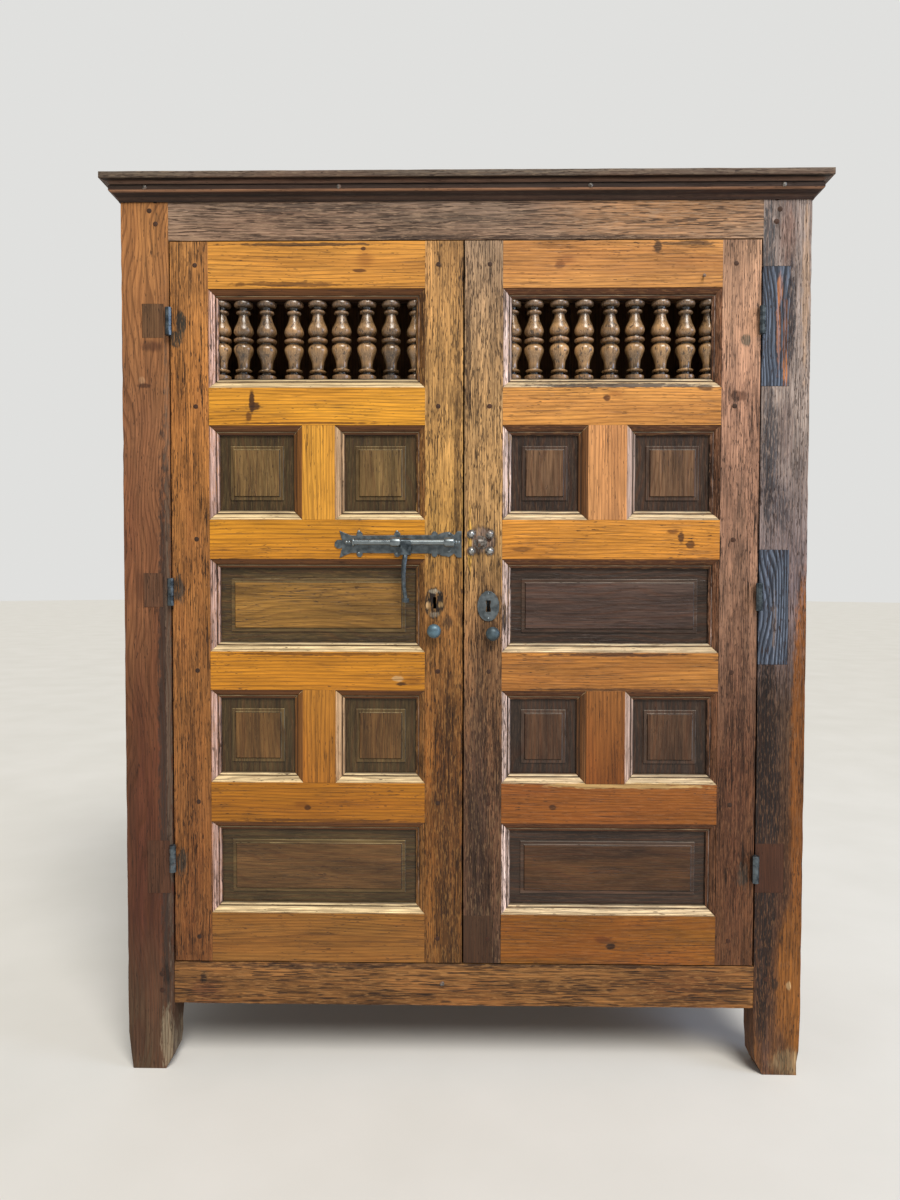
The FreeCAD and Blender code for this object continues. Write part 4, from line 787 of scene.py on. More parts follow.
# Repairs at the right: pine stained black, so its hard rings show blue-grey through.
BLACK_REPAIR = Wood("pine_sawn_black_stained_right_repairs", Axis.Z, ((780, "#23272f"), (1100, "#262b34"),
    (1540, "#2b313c")), tint="#3b4658", tint_share=0.6, contrast=0.3, ring_tone="#818ca0", ring_spacing=6.5,
    ring_depth=0.5, ring_warp=9, ring_reach=230, ring_width=0.24, fibre_depth=0.45, fleck_share=0.6,
    shift=7.9, spots=(Spot(592, 1500, 6, 40, "#c07a48", 0.9, 0.5, 1.2),
    Spot(590, 1430, 5, 90, "#ad6d42", 0.9, 0.5, 1.6), Spot(603, 1400, 6, 120, "#8a5636", 0.8, 0.5, 1.6),
    Spot(604, 1352, 7, 36, "#b8743f", 0.9, 0.5, 1.4), Spot(612, 1335, 6, 240, "#6d5340", 0.7, 0.5, 1.8),
    Spot(590, 870, 5, 70, "#7d6a5e", 0.6, 0.5, 1.6)))
# Lowest repair at the right, stained a warm dark brown.
BROWN_REPAIR = replace(PLAIN_REPAIR, name="pine_sawn_brown_stained_right_repair", tones=((340, "#45281a"),
    (560, "#4a2c1c")), shift=8.4)
# Repair at a door's foot: walnut as sawn, darker and duller than the stile.
STILE_PATCH = Wood("walnut_sawn_aged_stile_repair", Axis.Z, ((214, "#402a1b"), (307, "#483222")),
    tint="#36201a", ring_depth=0.3, shift=7.7)
# Cornice: moulded pine under dark wax; its tones by height paint near-black shade in the quirks and light
# lines on the crests as painted highlights.
CORNICE = Wood("pine_stuck_moulded_dark_waxed_cornice", Axis.X, ((1664.8, "#20130e"), (1667, "#33231b"),
    (1671, "#4d372a"), (1674, "#20150f"), (1678.5, "#33221a"), (1680, "#a4785a"), (1681.8, "#a4785a"),
    (1682.6, "#3c2a22"), (1689.5, "#453830"), (1690.6, "#120b08"), (1692.8, "#120b08"), (1693.8, "#705342"),
    (1696.8, "#684e40"), (1698, "#120b08"), (1699, "#120b08")), tint="#3a1a12", tint_share=0.3,
    contrast=0.15, ring_depth=0.15, fleck_share=0.2, worn_tone="#98816c", worn_share=0.12, shift=8.3)
# Its returns, waxed alike, but plainer because they are hardly handled.
CORNICE_SIDE = Wood("pine_stuck_moulded_dark_waxed_cornice_returns", Axis.Y, ((1664, "#43302a"),
    (1699, "#5f4c42")), tint="#3a1f18", shift=8.9)
# Top boards: bare sawn pine under dust, so grey, dry and open-pored.
TOP_BOARDS = Wood("pine_sawn_aged_top_boards", Axis.X, ((1699, "#57493d"), (1711, "#6b5f53")),
    fleck_share=0.6, worn_share=0.3, shift=9.1)
# Oak pegs: their end grain has soaked up wax, so they are nearly black.
PEGS = Wood("oak_riven_darkened_pegs", Axis.Y, ((0, "#33221a"), (1700, "#3c2a1e")), ring_spacing=3,
    shift=0.6)
# Stiles: planed pine, weathered and handled, so open dark pores, pale torn fibres and
# hardly any gloss, with grey stains beside the hinges.
LEFT_HINGE_STILE = Wood("pine_hand_planed_weathered_left_hinge_stile", Axis.Z, ((214, "#6a401f"),
    (600, "#87572b"), (950, "#966332"), (1300, "#b6773a"), (1592, "#b47c42")), tint="#6d3a20",
    tint_share=0.5, contrast=0.24, ring_spacing=5, ring_depth=0.4, fibre_depth=0.4, fleck_share=0.4,
    crack_share=0.9, worn_tone="#b88350", worn_share=0.35, bump=0.9, shift=0.2, bands=MOULDING_BANDS,
    recess_tone="#7a4f2e", painted_flank_reflection="#d2aea2", spots=(Spot(-537, 1440, 11, 31, "#30322b", 0.95, 0.3, 1.3),
    Spot(-546, 1410, 14, 19, "#30322b", 0.95, 0.3, 1.3), Spot(-519, 1528, 7, 60, "#5b3d22", 0.7, 0.6, 1.2),
    Spot(-545, 935, 14, 30, "#35332d", 0.9, 0.4, 1.5), Spot(-543, 410, 12, 32, "#35332d", 0.9, 0.4, 1.5)))
# Paler above the middle, where hands pull the doors and the painted light is stronger, with a black scar
# about the bare keyhole.
LEFT_MEETING_STILE = replace(LEFT_HINGE_STILE, name="pine_hand_planed_weathered_left_meeting_stile",
    tones=((214, "#744b20"), (600, "#7f4e1f"), (900, "#9a6a36"), (1050, "#b98b47"), (1300, "#c09156"),
    (1592, "#be8d55")), tint="#5f3a1c", contrast=0.34, ring_depth=0.3, fibre_depth=0.46, fleck_share=0.6,
    worn_tone="#cba062", worn_share=0.38, shift=11.2, recess_tone="#6f4a26", painted_flank_reflection="#c6a48e",
    spots=(Spot(-26, 480, 40, 420, "#3e2817", 0.55, 0.6, 1.6),
    Spot(-12, 1190, 8, 320, "#4a3018", 0.6, 0.5, 1.6), Spot(-56, 910, 21, 33, "#1d1813", 1, 0.2, 0.5),
    Spot(-67, 907, 6, 9, "#b8956a", 0.85, 0.7, 1.6), Spot(-44, 907, 6, 8, "#a58558", 0.8, 0.7, 1.6),
    Spot(-56, 932, 13, 6, "#a39884", 0.8, 0.5, 1.6), Spot(-56, 888, 12, 7, "#8d8272", 0.7, 0.5, 1.6),
    Spot(-30, 872, 12, 16, "#33261c", 0.75, 0.5, 1.6)))
# Browner and closer-pored, with dirt about the lock and the keeper.
RIGHT_MEETING_STILE = replace(LEFT_MEETING_STILE, name="pine_hand_planed_weathered_right_meeting_stile",
    tones=((214, "#4f382a"), (600, "#65442e"), (850, "#8c6440"), (1000, "#aa824f"), (1300, "#b38b5b"),
    (1592, "#9f8368")), tint="#4b3626", contrast=0.36, fibre_depth=0.48, fleck_share=0.7,
    worn_tone="#bf9f72", worn_share=0.36, shift=4.2, recess_tone="#644a34", painted_flank_reflection="#d4bcb4",
    spots=(Spot(28, 560, 26, 330, "#2f2622", 0.6, 0.6, 1.7),
    Spot(34, 1029, 33, 31, "#2f241d", 0.9, 0.3, 0.8), Spot(34, 1029, 29, 27, "#7c685c", 0.95, 0.3, 0.8),
    Spot(12, 1025, 5, 70, "#c79a3c", 0.7, 0.5, 1.5), Spot(47.5, 905, 27, 38, "#2c2019", 0.75, 0.4, 0.8),
    Spot(79, 882, 5, 34, "#1a120e", 0.9, 0.4, 1.2), Spot(8, 1400, 7, 190, "#33241a", 0.75, 0.5, 1.7)))
# Reddish, and dark and dull below.
RIGHT_HINGE_STILE = replace(LEFT_HINGE_STILE, name="pine_hand_planed_weathered_right_hinge_stile",
    tones=((214, "#51321c"), (600, "#64402a"), (950, "#94705a"), (1300, "#b2866d"), (1592, "#bf9576")),
    tint="#5f3a28", contrast=0.34, ring_depth=0.35, fibre_depth=0.46, fleck_share=0.58, worn_tone="#ab7d58",
    worn_share=0.36, shift=14.6, recess_tone="#6a4630", painted_flank_reflection="#cbb2a8",
    spots=(Spot(520, 640, 34, 420, "#46271a", 0.5, 0.7, 1.6),
    Spot(530, 1405, 10, 14, "#4a4a3e", 0.8, 0.4, 1.4), Spot(518, 1302, 20, 12, "#4d2c1c", 0.7, 0.4, 1),
    Spot(536, 391, 12, 30, "#33302b", 0.9, 0.4, 1.5)))
# Rails: planed pine rubbed with wax, so honey orange with a soft sheen and dark knots.
LEFT_RAILS = Wood("pine_hand_planed_waxed_left_rails", Axis.X, ((270, "#8b5e2a"), (525, "#a56918"),
    (780, "#c48122"), (1030, "#c78521"), (1280, "#df9b2d"), (1540, "#d7953e")), tint="#94501a",
    tint_share=0.35, contrast=0.13, ring_depth=0.42, ring_reach=420, fibre_depth=0.2, fleck_length=14,
    fleck_share=0, roughness=0.46, shift=1.9, bands=MOULDING_BANDS, recess_tone="#6a4222",
    painted_ledge_light="#e6cc9c", spots=(Spot(-190, 1578, 6, 5, "#40220e", 0.9, 0.4, 0.7),
    Spot(-198, 1537, 16, 4, "#552f12", 0.85, 0.4, 1), Spot(-187, 1558, 24, 24, "#8a4f1c", 0.5, 0.8),
    Spot(-300, 1586, 170, 4, "#3a2718", 0.8, 0.4, 1.8), Spot(-330, 1512, 130, 6, "#5f3613", 0.7, 0.4, 1.9),
    Spot(-403, 1291, 7, 26, "#3f2410", 0.95, 0.4, 0.9), Spot(-396, 1283, 11, 9, "#3f2410", 0.9, 0.4, 1.2),
    Spot(-409, 1264, 7, 12, "#5d3413", 0.8, 0.5, 1), Spot(-125, 765, 13, 7, "#c9a06c", 0.85, 0.4, 1.4),
    Spot(-118, 754, 15, 4, "#33200f", 0.9, 0.4, 1.4), Spot(-96, 760, 26, 12, "#7f4c16", 0.6, 0.7, 1),
    Spot(-299, 515, 8, 6, "#44260f", 0.9, 0.4, 0.8), Spot(-312, 521, 22, 12, "#74400f", 0.5, 0.8, 0.8),
    Spot(-280, 811, 200, 3.5, "#5a3414", 0.7, 0.4, 1.9),
    Spot(-280, 490, 200, 3.5, "#4c2c13", 0.7, 0.4, 1.9),
    Spot(-300, 1251, 180, 2.5, "#5d3612", 0.7, 0.4, 1.8)))
# A little redder, with more dirt along the edges.
RIGHT_RAILS = replace(LEFT_RAILS, name="pine_hand_planed_waxed_right_rails", tones=((270, "#835116"),
    (525, "#8b511d"), (780, "#ae7435"), (1030, "#cf8930"), (1280, "#db994c"), (1540, "#ca8d4a")),
    tint="#8a4420", tint_share=0.4, contrast=0.16, fibre_depth=0.24, fleck_length=18, fleck_share=0.14,
    worn_share=0.12, shift=5.6, recess_tone="#5d3820", painted_ledge_light="#dcc49c",
    spots=(Spot(180, 1546, 12, 9, "#63371a", 0.7, 0.5, 0.9),
    Spot(192, 1556, 26, 14, "#84481e", 0.5, 0.8, 0.8), Spot(363, 1580, 9, 13, "#33200f", 0.9, 0.4, 1.2),
    Spot(420, 1586, 60, 5, "#3f2a18", 0.8, 0.4, 1.7), Spot(270, 1298, 9, 7, "#542c12", 0.9, 0.4, 0.9),
    Spot(286, 1306, 26, 10, "#884a1a", 0.5, 0.8, 0.8), Spot(455, 1317, 20, 8, "#40281a", 0.8, 0.5, 1.2),
    Spot(290, 1322, 200, 6, "#3a2e27", 0.9, 0.4, 1.7), Spot(412, 1036, 7, 14, "#44240f", 0.85, 0.4, 1.3),
    Spot(398, 1046, 16, 6, "#61340f", 0.75, 0.5, 1.2), Spot(430, 1022, 10, 8, "#44240f", 0.8, 0.4, 1.3),
    Spot(112, 1012, 30, 5, "#633c18", 0.7, 0.5, 1.4), Spot(285, 249, 12, 7, "#2b180b", 0.95, 0.35, 1),
    Spot(270, 262, 20, 9, "#5e3012", 0.75, 0.5, 1.1), Spot(172, 518, 9, 6, "#40240f", 0.9, 0.4, 0.9),
    Spot(300, 812, 180, 4, "#41281a", 0.85, 0.4, 1.8), Spot(280, 745, 190, 3, "#41281a", 0.8, 0.4, 1.8),
    Spot(300, 560, 190, 6, "#c4a26a", 0.8, 0.4, 1.7)))
# Muntins: the same waxed pine, set upright.
LEFT_MUNTINS = Wood("pine_hand_planed_waxed_left_muntins", Axis.Z, ((563, "#a76a24"), (815, "#b77b2c"),
    (1068, "#d79836")), tint="#9c5218", contrast=0.12, fibre_depth=0.2, fleck_share=0, shift=2.8,
    bands=MOULDING_BANDS, recess_tone="#7d5126", painted_flank_reflection="#c8a580")
RIGHT_MUNTINS = replace(LEFT_MUNTINS, name="pine_hand_planed_waxed_right_muntins", tones=((563, "#7a451a"),
    (815, "#96612f"), (1068, "#d0935c")), tint="#8f4420", contrast=0.14, fibre_depth=0.22, fleck_share=0.08,
    shift=6.1, recess_tone="#6a4526", painted_flank_reflection="#c8ada0")
# Panels: fielded walnut, polished, so dark with a slow figure under a thin gloss.
LEFT_PANELS = Wood("walnut_fielded_polished_left_panels", Axis.Z, ((214, "#604324"), (460, "#5e4224"),
    (560, "#624524"), (742, "#644725"), (800, "#845f29"), (1000, "#936b30"), (1060, "#795f37"),
    (1250, "#7d633b")), tint="#4a3018", tint_share=0.6, contrast=0.34, ring_spacing=11, ring_warp=7,
    ring_reach=260, fibre_depth=0.3, fleck_share=0.1, worn_tone="#a88f5e", worn_share=0.12, roughness=0.4,
    coat=0.12, shift=3.3, face=-225, bands=PANEL_BANDS, recess_tone="#46371f", painted_ledge_light="#8d7a55",
    painted_flank_reflection="#5e5a50")
# Nearly black at the edges: dirt gathered there, and painted shade.
RIGHT_PANELS = replace(LEFT_PANELS, name="walnut_fielded_polished_right_panels", tones=((214, "#4a2f16"),
    (460, "#4c3118"), (560, "#4c3320"), (742, "#503826"), (800, "#4b3830"), (1000, "#503f38"),
    (1060, "#6d5038"), (1250, "#70533a")), tint="#2e1c16", tint_share=0.65, contrast=0.36, ring_depth=0.42,
    fibre_depth=0.34, fleck_share=0.15, worn_tone="#7d6a58", worn_share=0.2, roughness=0.38, shift=7.9,
    recess_tone="#352820", painted_ledge_light="#6e6358", painted_flank_reflection="#5c5a5c")
# The wide panels are cut from the same wood, with level grain.
WIDE_PANELS = {
    side: replace(panels, name=f"walnut_fielded_polished_{side}_wide_panels", grain=Axis.X)
    for side, panels in (("left", LEFT_PANELS), ("right", RIGHT_PANELS))}
# Balusters: pine turned and polished by hands, so glossy, with painted highlights on the swells and painted
# shade in the grooves; the pores are drawn three times as wide as elsewhere, so that they show.
TURNED = Wood("pine_turned_polished_balusters", Axis.Z, ((1336, "#6f5236"), (1350, "#8d6c48"),
    (1400, "#9a774f"), (1412, "#806042"), (1440, "#9a774f"), (1470, "#7c6046"), (1486, "#6a5542")),
    tint="#1f150c", tint_share=0.85, contrast=0.36, ring_depth=0.1, fibre_depth=0.3, fleck_width=5.5,
    fleck_length=11, fleck_tone="#33241a", fleck_share=0.5, worn_tone="#c0a67c", worn_share=0.35,
    roughness=0.22, coat=0.9, shift=4.9, specular=0.5, grooves=True)
# Plates: forged iron blued by handling, a dull metal with soft hammer marks.
FORGED = Iron("iron_forged_blued_by_handling", "#757d81", "#535a5e", pit_size=9, roughness=0.36, bump=0.12)
# Hinges and handle: iron blackened with oil, darker and a little smoother.
BLACKENED = Iron("iron_forged_blackened_and_oiled", "#6a747a", "#3c444a", pit_size=9, roughness=0.32,
    bump=0.1)
# Bolt, barrels and rivets: iron that is gripped and slides, so bright and even.
POLISHED = Iron("iron_forged_polished_by_hands", "#8a9396", "#747d82", rust_share=0.02, pit_size=14,
    roughness=0.3, bump=0.02)
# Keeper and nails: iron rusted brown in patches, pitted and rough.
RUSTY = Iron("iron_forged_rusted_and_pitted", "#8f8a84", "#4d443e", rust_tone="#6b4a34", rust_share=0.4,
    pit_size=4, roughness=0.4, metallic=0.7)
# Keeper's nails: burnished on their domes by sleeves, so pale and shiny.
DOMED = Iron("iron_forged_domed_nails_burnished", "#b4b6b6", "#86847f", rust_tone="#6b4a34", rust_share=0.2,
    pit_size=6, roughness=0.32, bump=0.1)
# Knobs: matt iron with a blue-grey skin, darker on the right door.
KNOB_IRON = Iron("iron_forged_matt_knobs", "#64808e", "#506570", rust_tone="#4c3a30", rust_share=0.05,
    pit_size=8, roughness=0.46, metallic=0.5, bump=0.1)
DARK_KNOB = replace(KNOB_IRON, name="iron_forged_matt_darkened_knob", tone="#52626a", dark_tone="#3c484e")

RAIL_PARTS = ("foot_rail", "lower_rail", "middle_rail", "bolt_rail", "grille_rail", "top_rail")
CASE_FINISHES = {
    "front_post_left": LEFT_POST, "front_post_right": RIGHT_POST, "rear_posts": CASE_BOARDS,
    "front_bottom_rail": BOTTOM_RAIL, "front_top_rail": TOP_RAIL, "side_rails": CASE_SIDE_RAILS,
    "back_rails": CASE_FLATS, "frame_pegs": PEGS, "post_patches": PLAIN_REPAIR,
    "side_boards": CASE_BOARDS, "back_boards": CASE_BOARDS, "floor_boards": CASE_FLATS,
    "shelf_boards": CASE_FLATS, "shelf_cleats": CASE_SIDE_RAILS, "top_boards": TOP_BOARDS,
    "cornice_front": CORNICE, "cornice_sides": CORNICE_SIDE, "cornice_nails": RUSTY,
    "hinge_post_leaves": BLACKENED, "hinge_pins": BLACKENED,
}
DOOR_FINISHES = {
    side: {**dict.fromkeys(RAIL_PARTS, rails), "hinge_stile": outer, "meeting_stile": inner,
           "muntins": muntins, "panels": panels, "balusters": TURNED, "door_pegs": PEGS,
           "hinge_leaves": BLACKENED, "knob": knob, "stile_patch": STILE_PATCH}
    for side, outer, inner, rails, muntins, panels, knob in (
        ("left", LEFT_HINGE_STILE, LEFT_MEETING_STILE, LEFT_RAILS, LEFT_MUNTINS, LEFT_PANELS, KNOB_IRON),
        ("right", RIGHT_HINGE_STILE, RIGHT_MEETING_STILE, RIGHT_RAILS, RIGHT_MUNTINS, RIGHT_PANELS,
         DARK_KNOB))
}
# Turned outline of a baluster: height above its foot and radius.
BALUSTER_PROFILE = (
    (0, 17.2), (1.0, 18.3), (4.5, 18.6), (8.2, 18.2), (9.6, 15.5), (10.6, 10.0), (14.4, 9.4),
    (15.6, 12.6), (16.6, 15.6), (18.2, 16.4), (19.8, 15.4), (21.0, 11.4), (23, 10.9), (31, 11.1),
    (38, 12.3), (44, 14.6), (50, 17.2), (55, 18.9), (59.5, 19.2), (63.5, 18.0), (67.5, 14.6), (70, 11.0),
    (71.2, 11.6), (72.4, 16.6), (74, 18.9), (76, 19.3), (78, 18.9), (79.6, 16.6), (80.8, 11.6),
    (82.2, 11.2), (84.6, 14.2), (88, 17.4), (92, 19.2), (96, 19.1), (101, 17.6), (107, 14.6),
    (113, 12.0), (119, 10.3), (125.2, 9.4), (126.6, 10.6), (127.8, 13.6), (129.8, 14.4), (131.8, 13.5),
    (133.2, 9.4), (135.4, 8.8), (138.4, 9.8), (139.8, 14.6), (141.4, 17.8), (144.6, 18.7),
    (148.0, 18.2), (150, 16.4))
# Outlines of a knob and of a domed head: share of the reach and of the radius.
KNOB_PROFILE = (
    (0, 0.36), (0.42, 0.36), (0.46, 0.9), (0.54, 1.0), (0.64, 1.0), (0.76, 0.93), (0.87, 0.78),
    (0.94, 0.57), (0.985, 0.3), (1.0, 0.03))
DOME_PROFILE = ((0, 1.0), (0.3, 0.97), (0.62, 0.78), (0.88, 0.44), (1.0, 0.06))
# How far a peg stands out, and outlines of a peg, with its radius as one, of the bolt from its left
# tip, and of an old nail.
PEG_RISE = 0.4
PEG_PROFILE = ((0, 0.7), (0.32, 0.95), (0.8, 1.0), (14.0, 1.0))
ROD_PROFILE = (
    (0, 0.8), (1.2, 2.6), (3, 3.3), (4.8, 2.6), (5.8, 2.1), (7, 3.2), (8.6, 3.6), (10, 3.0), (11, 2.5),
    (13, 3.8), (14.4, 5.0), (15.2, 8.0), (16.4, 8.5), (17.8, 8.2), (18.6, 5.4), (206, 5.4), (207, 4.0),
    (208.4, 3.1), (210, 4.2), (211.6, 4.2), (213, 3.0), (214, 2.6), (215.6, 3.8), (217.4, 3.6),
    (219, 2.0), (220, 0.6))
NAIL_PROFILE = ((0, 1.6), (5.0, 1.5), (5.6, 3.2), (6.8, 3.0), (7.6, 1.4))
# Sides of small round heads and nails.
SMALL_SIDES = 14
# Section of a barrel, round and back: distance along it and share of its wall's thickness.
BARREL_PROFILE = (
    (0.0, 0.0), (0.0, 0.62), (1.6, 0.84), (5.0, 0.97), (9.5, 1.0), (14.0, 0.97), (17.4, 0.84),
    (19.0, 0.62), (19.0, 0.0), (0.0, 0.0))


def scaled(profile: Profile, reach: float, radius: float) -> Profile:
    """Return an outline stretched to a reach and a radius."""
    return tuple((along * reach, out * radius) for along, out in profile)


def domed(places: list[Point], rise: float, radius: float, sides: int, name: str) -> Piece:
    """Turn domed heads that stand out to the front.

    Args:
        places: the middles of their feet, in millimetres.
        rise: how far each stands out.
        radius: its radius.
        sides: how many sides it has.
        name: the name of the whole.

    Returns:
        All the heads as one object.
    """
    head = scaled(DOME_PROFILE, rise, radius)
    return repeat(Turning("head", Axis.Y, places[0], head, sides, way=-1), places, name)


def feet(node: str) -> list[Point]:
    """Return the middle of the back of each of a node's solids, in millimetres."""
    return [((low.x + high.x) / 2, high.y, (low.z + high.z) / 2) for low, high in islands(node)]


def peg_heads(node: str, radius: float, heads: Profile = ()) -> Piece:
    """Turn round pegs in the places of a node's plain ones.

    Args:
        node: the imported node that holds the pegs.
        radius: a peg's radius, in millimetres.
        heads: uneven places, across and up, that take over the node's highest pegs.

    Returns:
        All the pegs as one object.
    """
    boxes = sorted(islands(node), key=lambda box: box[0].z)
    face = boxes[0][0].y - PEG_RISE
    kept = boxes[:len(boxes) - len(heads)]
    places = [((low.x + high.x) / 2, face, (low.z + high.z) / 2) for low, high in kept]
    places += [(across, face, up) for across, up in heads]
    model = Turning("peg", Axis.Y, places[0], scaled(PEG_PROFILE, 1, radius), sides=16)
    return repeat(model, places, node + "_round")


class Workshop:
    """What every piece needs: finishes, each made once, and a way to its place."""

    def __init__(self) -> None:
        """Start without any finish."""
        self.made: dict[str, bpy.types.Material] = {}

    def material(self, finish: Wood | Iron) -> bpy.types.Material:
        """Return a finish's material, made when it is first asked for."""
        if finish.name not in self.made:
            self.made[finish.name] = finish.build()
        return self.made[finish.name]

    def dress_node(self, node: str, finish: Wood | Iron) -> None:
        """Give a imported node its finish."""
        for place in bpy.data.objects[node].material_slots:
            place.material = self.material(finish)

    def place(self, piece: Piece, body: Body, finish: Wood | Iron, node: str = "", slot: str = "") -> Piece:
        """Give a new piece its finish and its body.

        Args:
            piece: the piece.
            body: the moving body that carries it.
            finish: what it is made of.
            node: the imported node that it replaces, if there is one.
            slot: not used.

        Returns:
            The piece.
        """
        piece.data.materials.clear()
        piece.data.materials.append(self.material(finish))
        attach(piece, body.value)
        if node:
            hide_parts(node)
        return piece

    def worn(self, node: str, wear: Wear, body: Body, finish: Wood | Iron) -> Piece:
        """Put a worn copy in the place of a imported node."""
        return self.place(WornCopy(node, wear).build(), body, finish, node)


@dataclass
class Camera:
    """The photographer's place, worked out from the cupboard's own corners."""

    across: float = 1.0
    back: float = -1889.0
    up: float = 969.0
    lens: float = 26.04
    film: float = 36.0
    down: float = 1.85
    aside: float = 0.92
    roll: float = -0.11

    def build(self) -> None:
        """Make the camera and look through it."""
        bpy.ops.object.camera_add(location=metres((self.across, self.back, self.up)))
        eye = bpy.context.object
        eye.name = "camera"
        eye.rotation_mode = "XYZ"
        eye.rotation_euler = [math.radians(turn) for turn in (90 - self.down, self.roll, self.aside)]
        eye.data.sensor_fit = "VERTICAL"
        eye.data.sensor_height = self.film
        eye.data.lens = self.lens
        bpy.context.scene.camera = eye
        LOG.info("camera at %.0f %.0f %.0f mm", self.across, self.back, self.up)


@dataclass
class Studio:
    """A pale floor and soft light."""

    floor_radius: float = 30000.0
    floor_sides: int = 96
    floor_tones: tuple[str, str] = ("#e0dfda", "#e6e5e1")
    clouds_per_metre: float = 3.0
    floor_roughness: float = 0.8
    sky_tone: str = "#f2f2f0"
    sky_level: float = 0.36
    wall_level: float = 0.84
    sun_power: float = 2.8
    sun_spread: float = 28.0
    sun_height: float = 48.0
    sun_aside: float = 20.0
    sun_tone: str = "#fffaf2"
    side_power: float = 42.0
    side_size: float = 1500.0
    side_place: Point = (3600.0, -1500.0, 2200.0)
    side_down: float = 72.0
    side_turn: float = 68.0
    side_tone: str = "#cbdcfa"

    def floor(self) -> None:
        """Lay a round floor, level with the feet."""
        bpy.ops.object.select_all(action="DESELECT")
        bpy.ops.mesh.primitive_circle_add(vertices=self.floor_sides, radius=self.floor_radius * MM,
                                          fill_type="NGON", location=(0, 0, 0))
        floor = bpy.context.object
        floor.name = "studio_floor"
        # Trowelled plaster is matt and almost even, with faint clouds.
        material, coordinates = blank_material("plaster_trowelled_studio_floor")
        tree = material.node_tree
        cloud = add_node(tree, "TexNoise", {"Scale": self.clouds_per_metre, "Detail": 6.0},
                         {"Vector": coordinates.outputs["Object"]})
        ramp = add_node(tree, "ValToRGB", links={0: cloud})
        set_stops(ramp, list(zip((MIDDLE.low, MIDDLE.high), map(linear, self.floor_tones))))
        shader = add_node(tree, "BsdfPrincipled", {"Roughness": self.floor_roughness}, {"Base Color": ramp})
        add_node(tree, "OutputMaterial", links={0: shader})
        floor.data.materials.append(material)

    def lamp(self, name: str, kind: str, tone: str, power: float, tilt: float,
             turn: float) -> bpy.types.Light:
        """Hang a lamp.

        Args:
            name: its name.
            kind: its type.
            tone: its colour.
            power: its strength.
            tilt: how far it looks up from straight down, in degrees.
            turn: how far it is turned about the upright, in degrees.

        Returns:
            Its settings.
        """
        bpy.ops.object.light_add(type=kind, rotation=(math.radians(tilt), 0, math.radians(turn)))
        lamp = bpy.context.object
        lamp.name = name
        lamp.data.energy = power
        lamp.data.color = linear(tone)[:3]
        return lamp.data

    def lamps(self) -> None:
        """Hang a wide soft sun above, and a cool square lamp at the right, like a window."""
        sun = self.lamp("key_lamp", "SUN", self.sun_tone, self.sun_power, 90 - self.sun_height,
                        self.sun_aside)
        sun.angle = math.radians(self.sun_spread)
        side = self.lamp("side_lamp", "AREA", self.side_tone, self.side_power, self.side_down,
                         self.side_turn)
        side.size = self.side_size * MM
        bpy.context.object.location = metres(self.side_place)

    def sky(self) -> None:
        """Light everything evenly, and show a pale wall to the camera."""
        world = bpy.data.worlds.new("studio_sky")
        bpy.context.scene.world = world
        world.use_nodes = True
        tree = world.node_tree
        tree.nodes.clear()
        soft, wall = (add_node(tree, "Background", {"Color": linear(self.sky_tone), "Strength": level})
                      for level in (self.sky_level, self.wall_level))
        path = add_node(tree, "LightPath")
        mix = add_node(tree, "MixShader", links={0: path.outputs["Is Camera Ray"], 1: soft, 2: wall})
        add_node(tree, "OutputWorld", links={0: mix})

    def build(self) -> None:
        """Lay the floor, hang the lamps and light the sky."""
        bpy.context.scene.view_settings.view_transform = "Standard"
        self.floor()
        self.sky()
        self.lamps()
        LOG.info("studio ready")


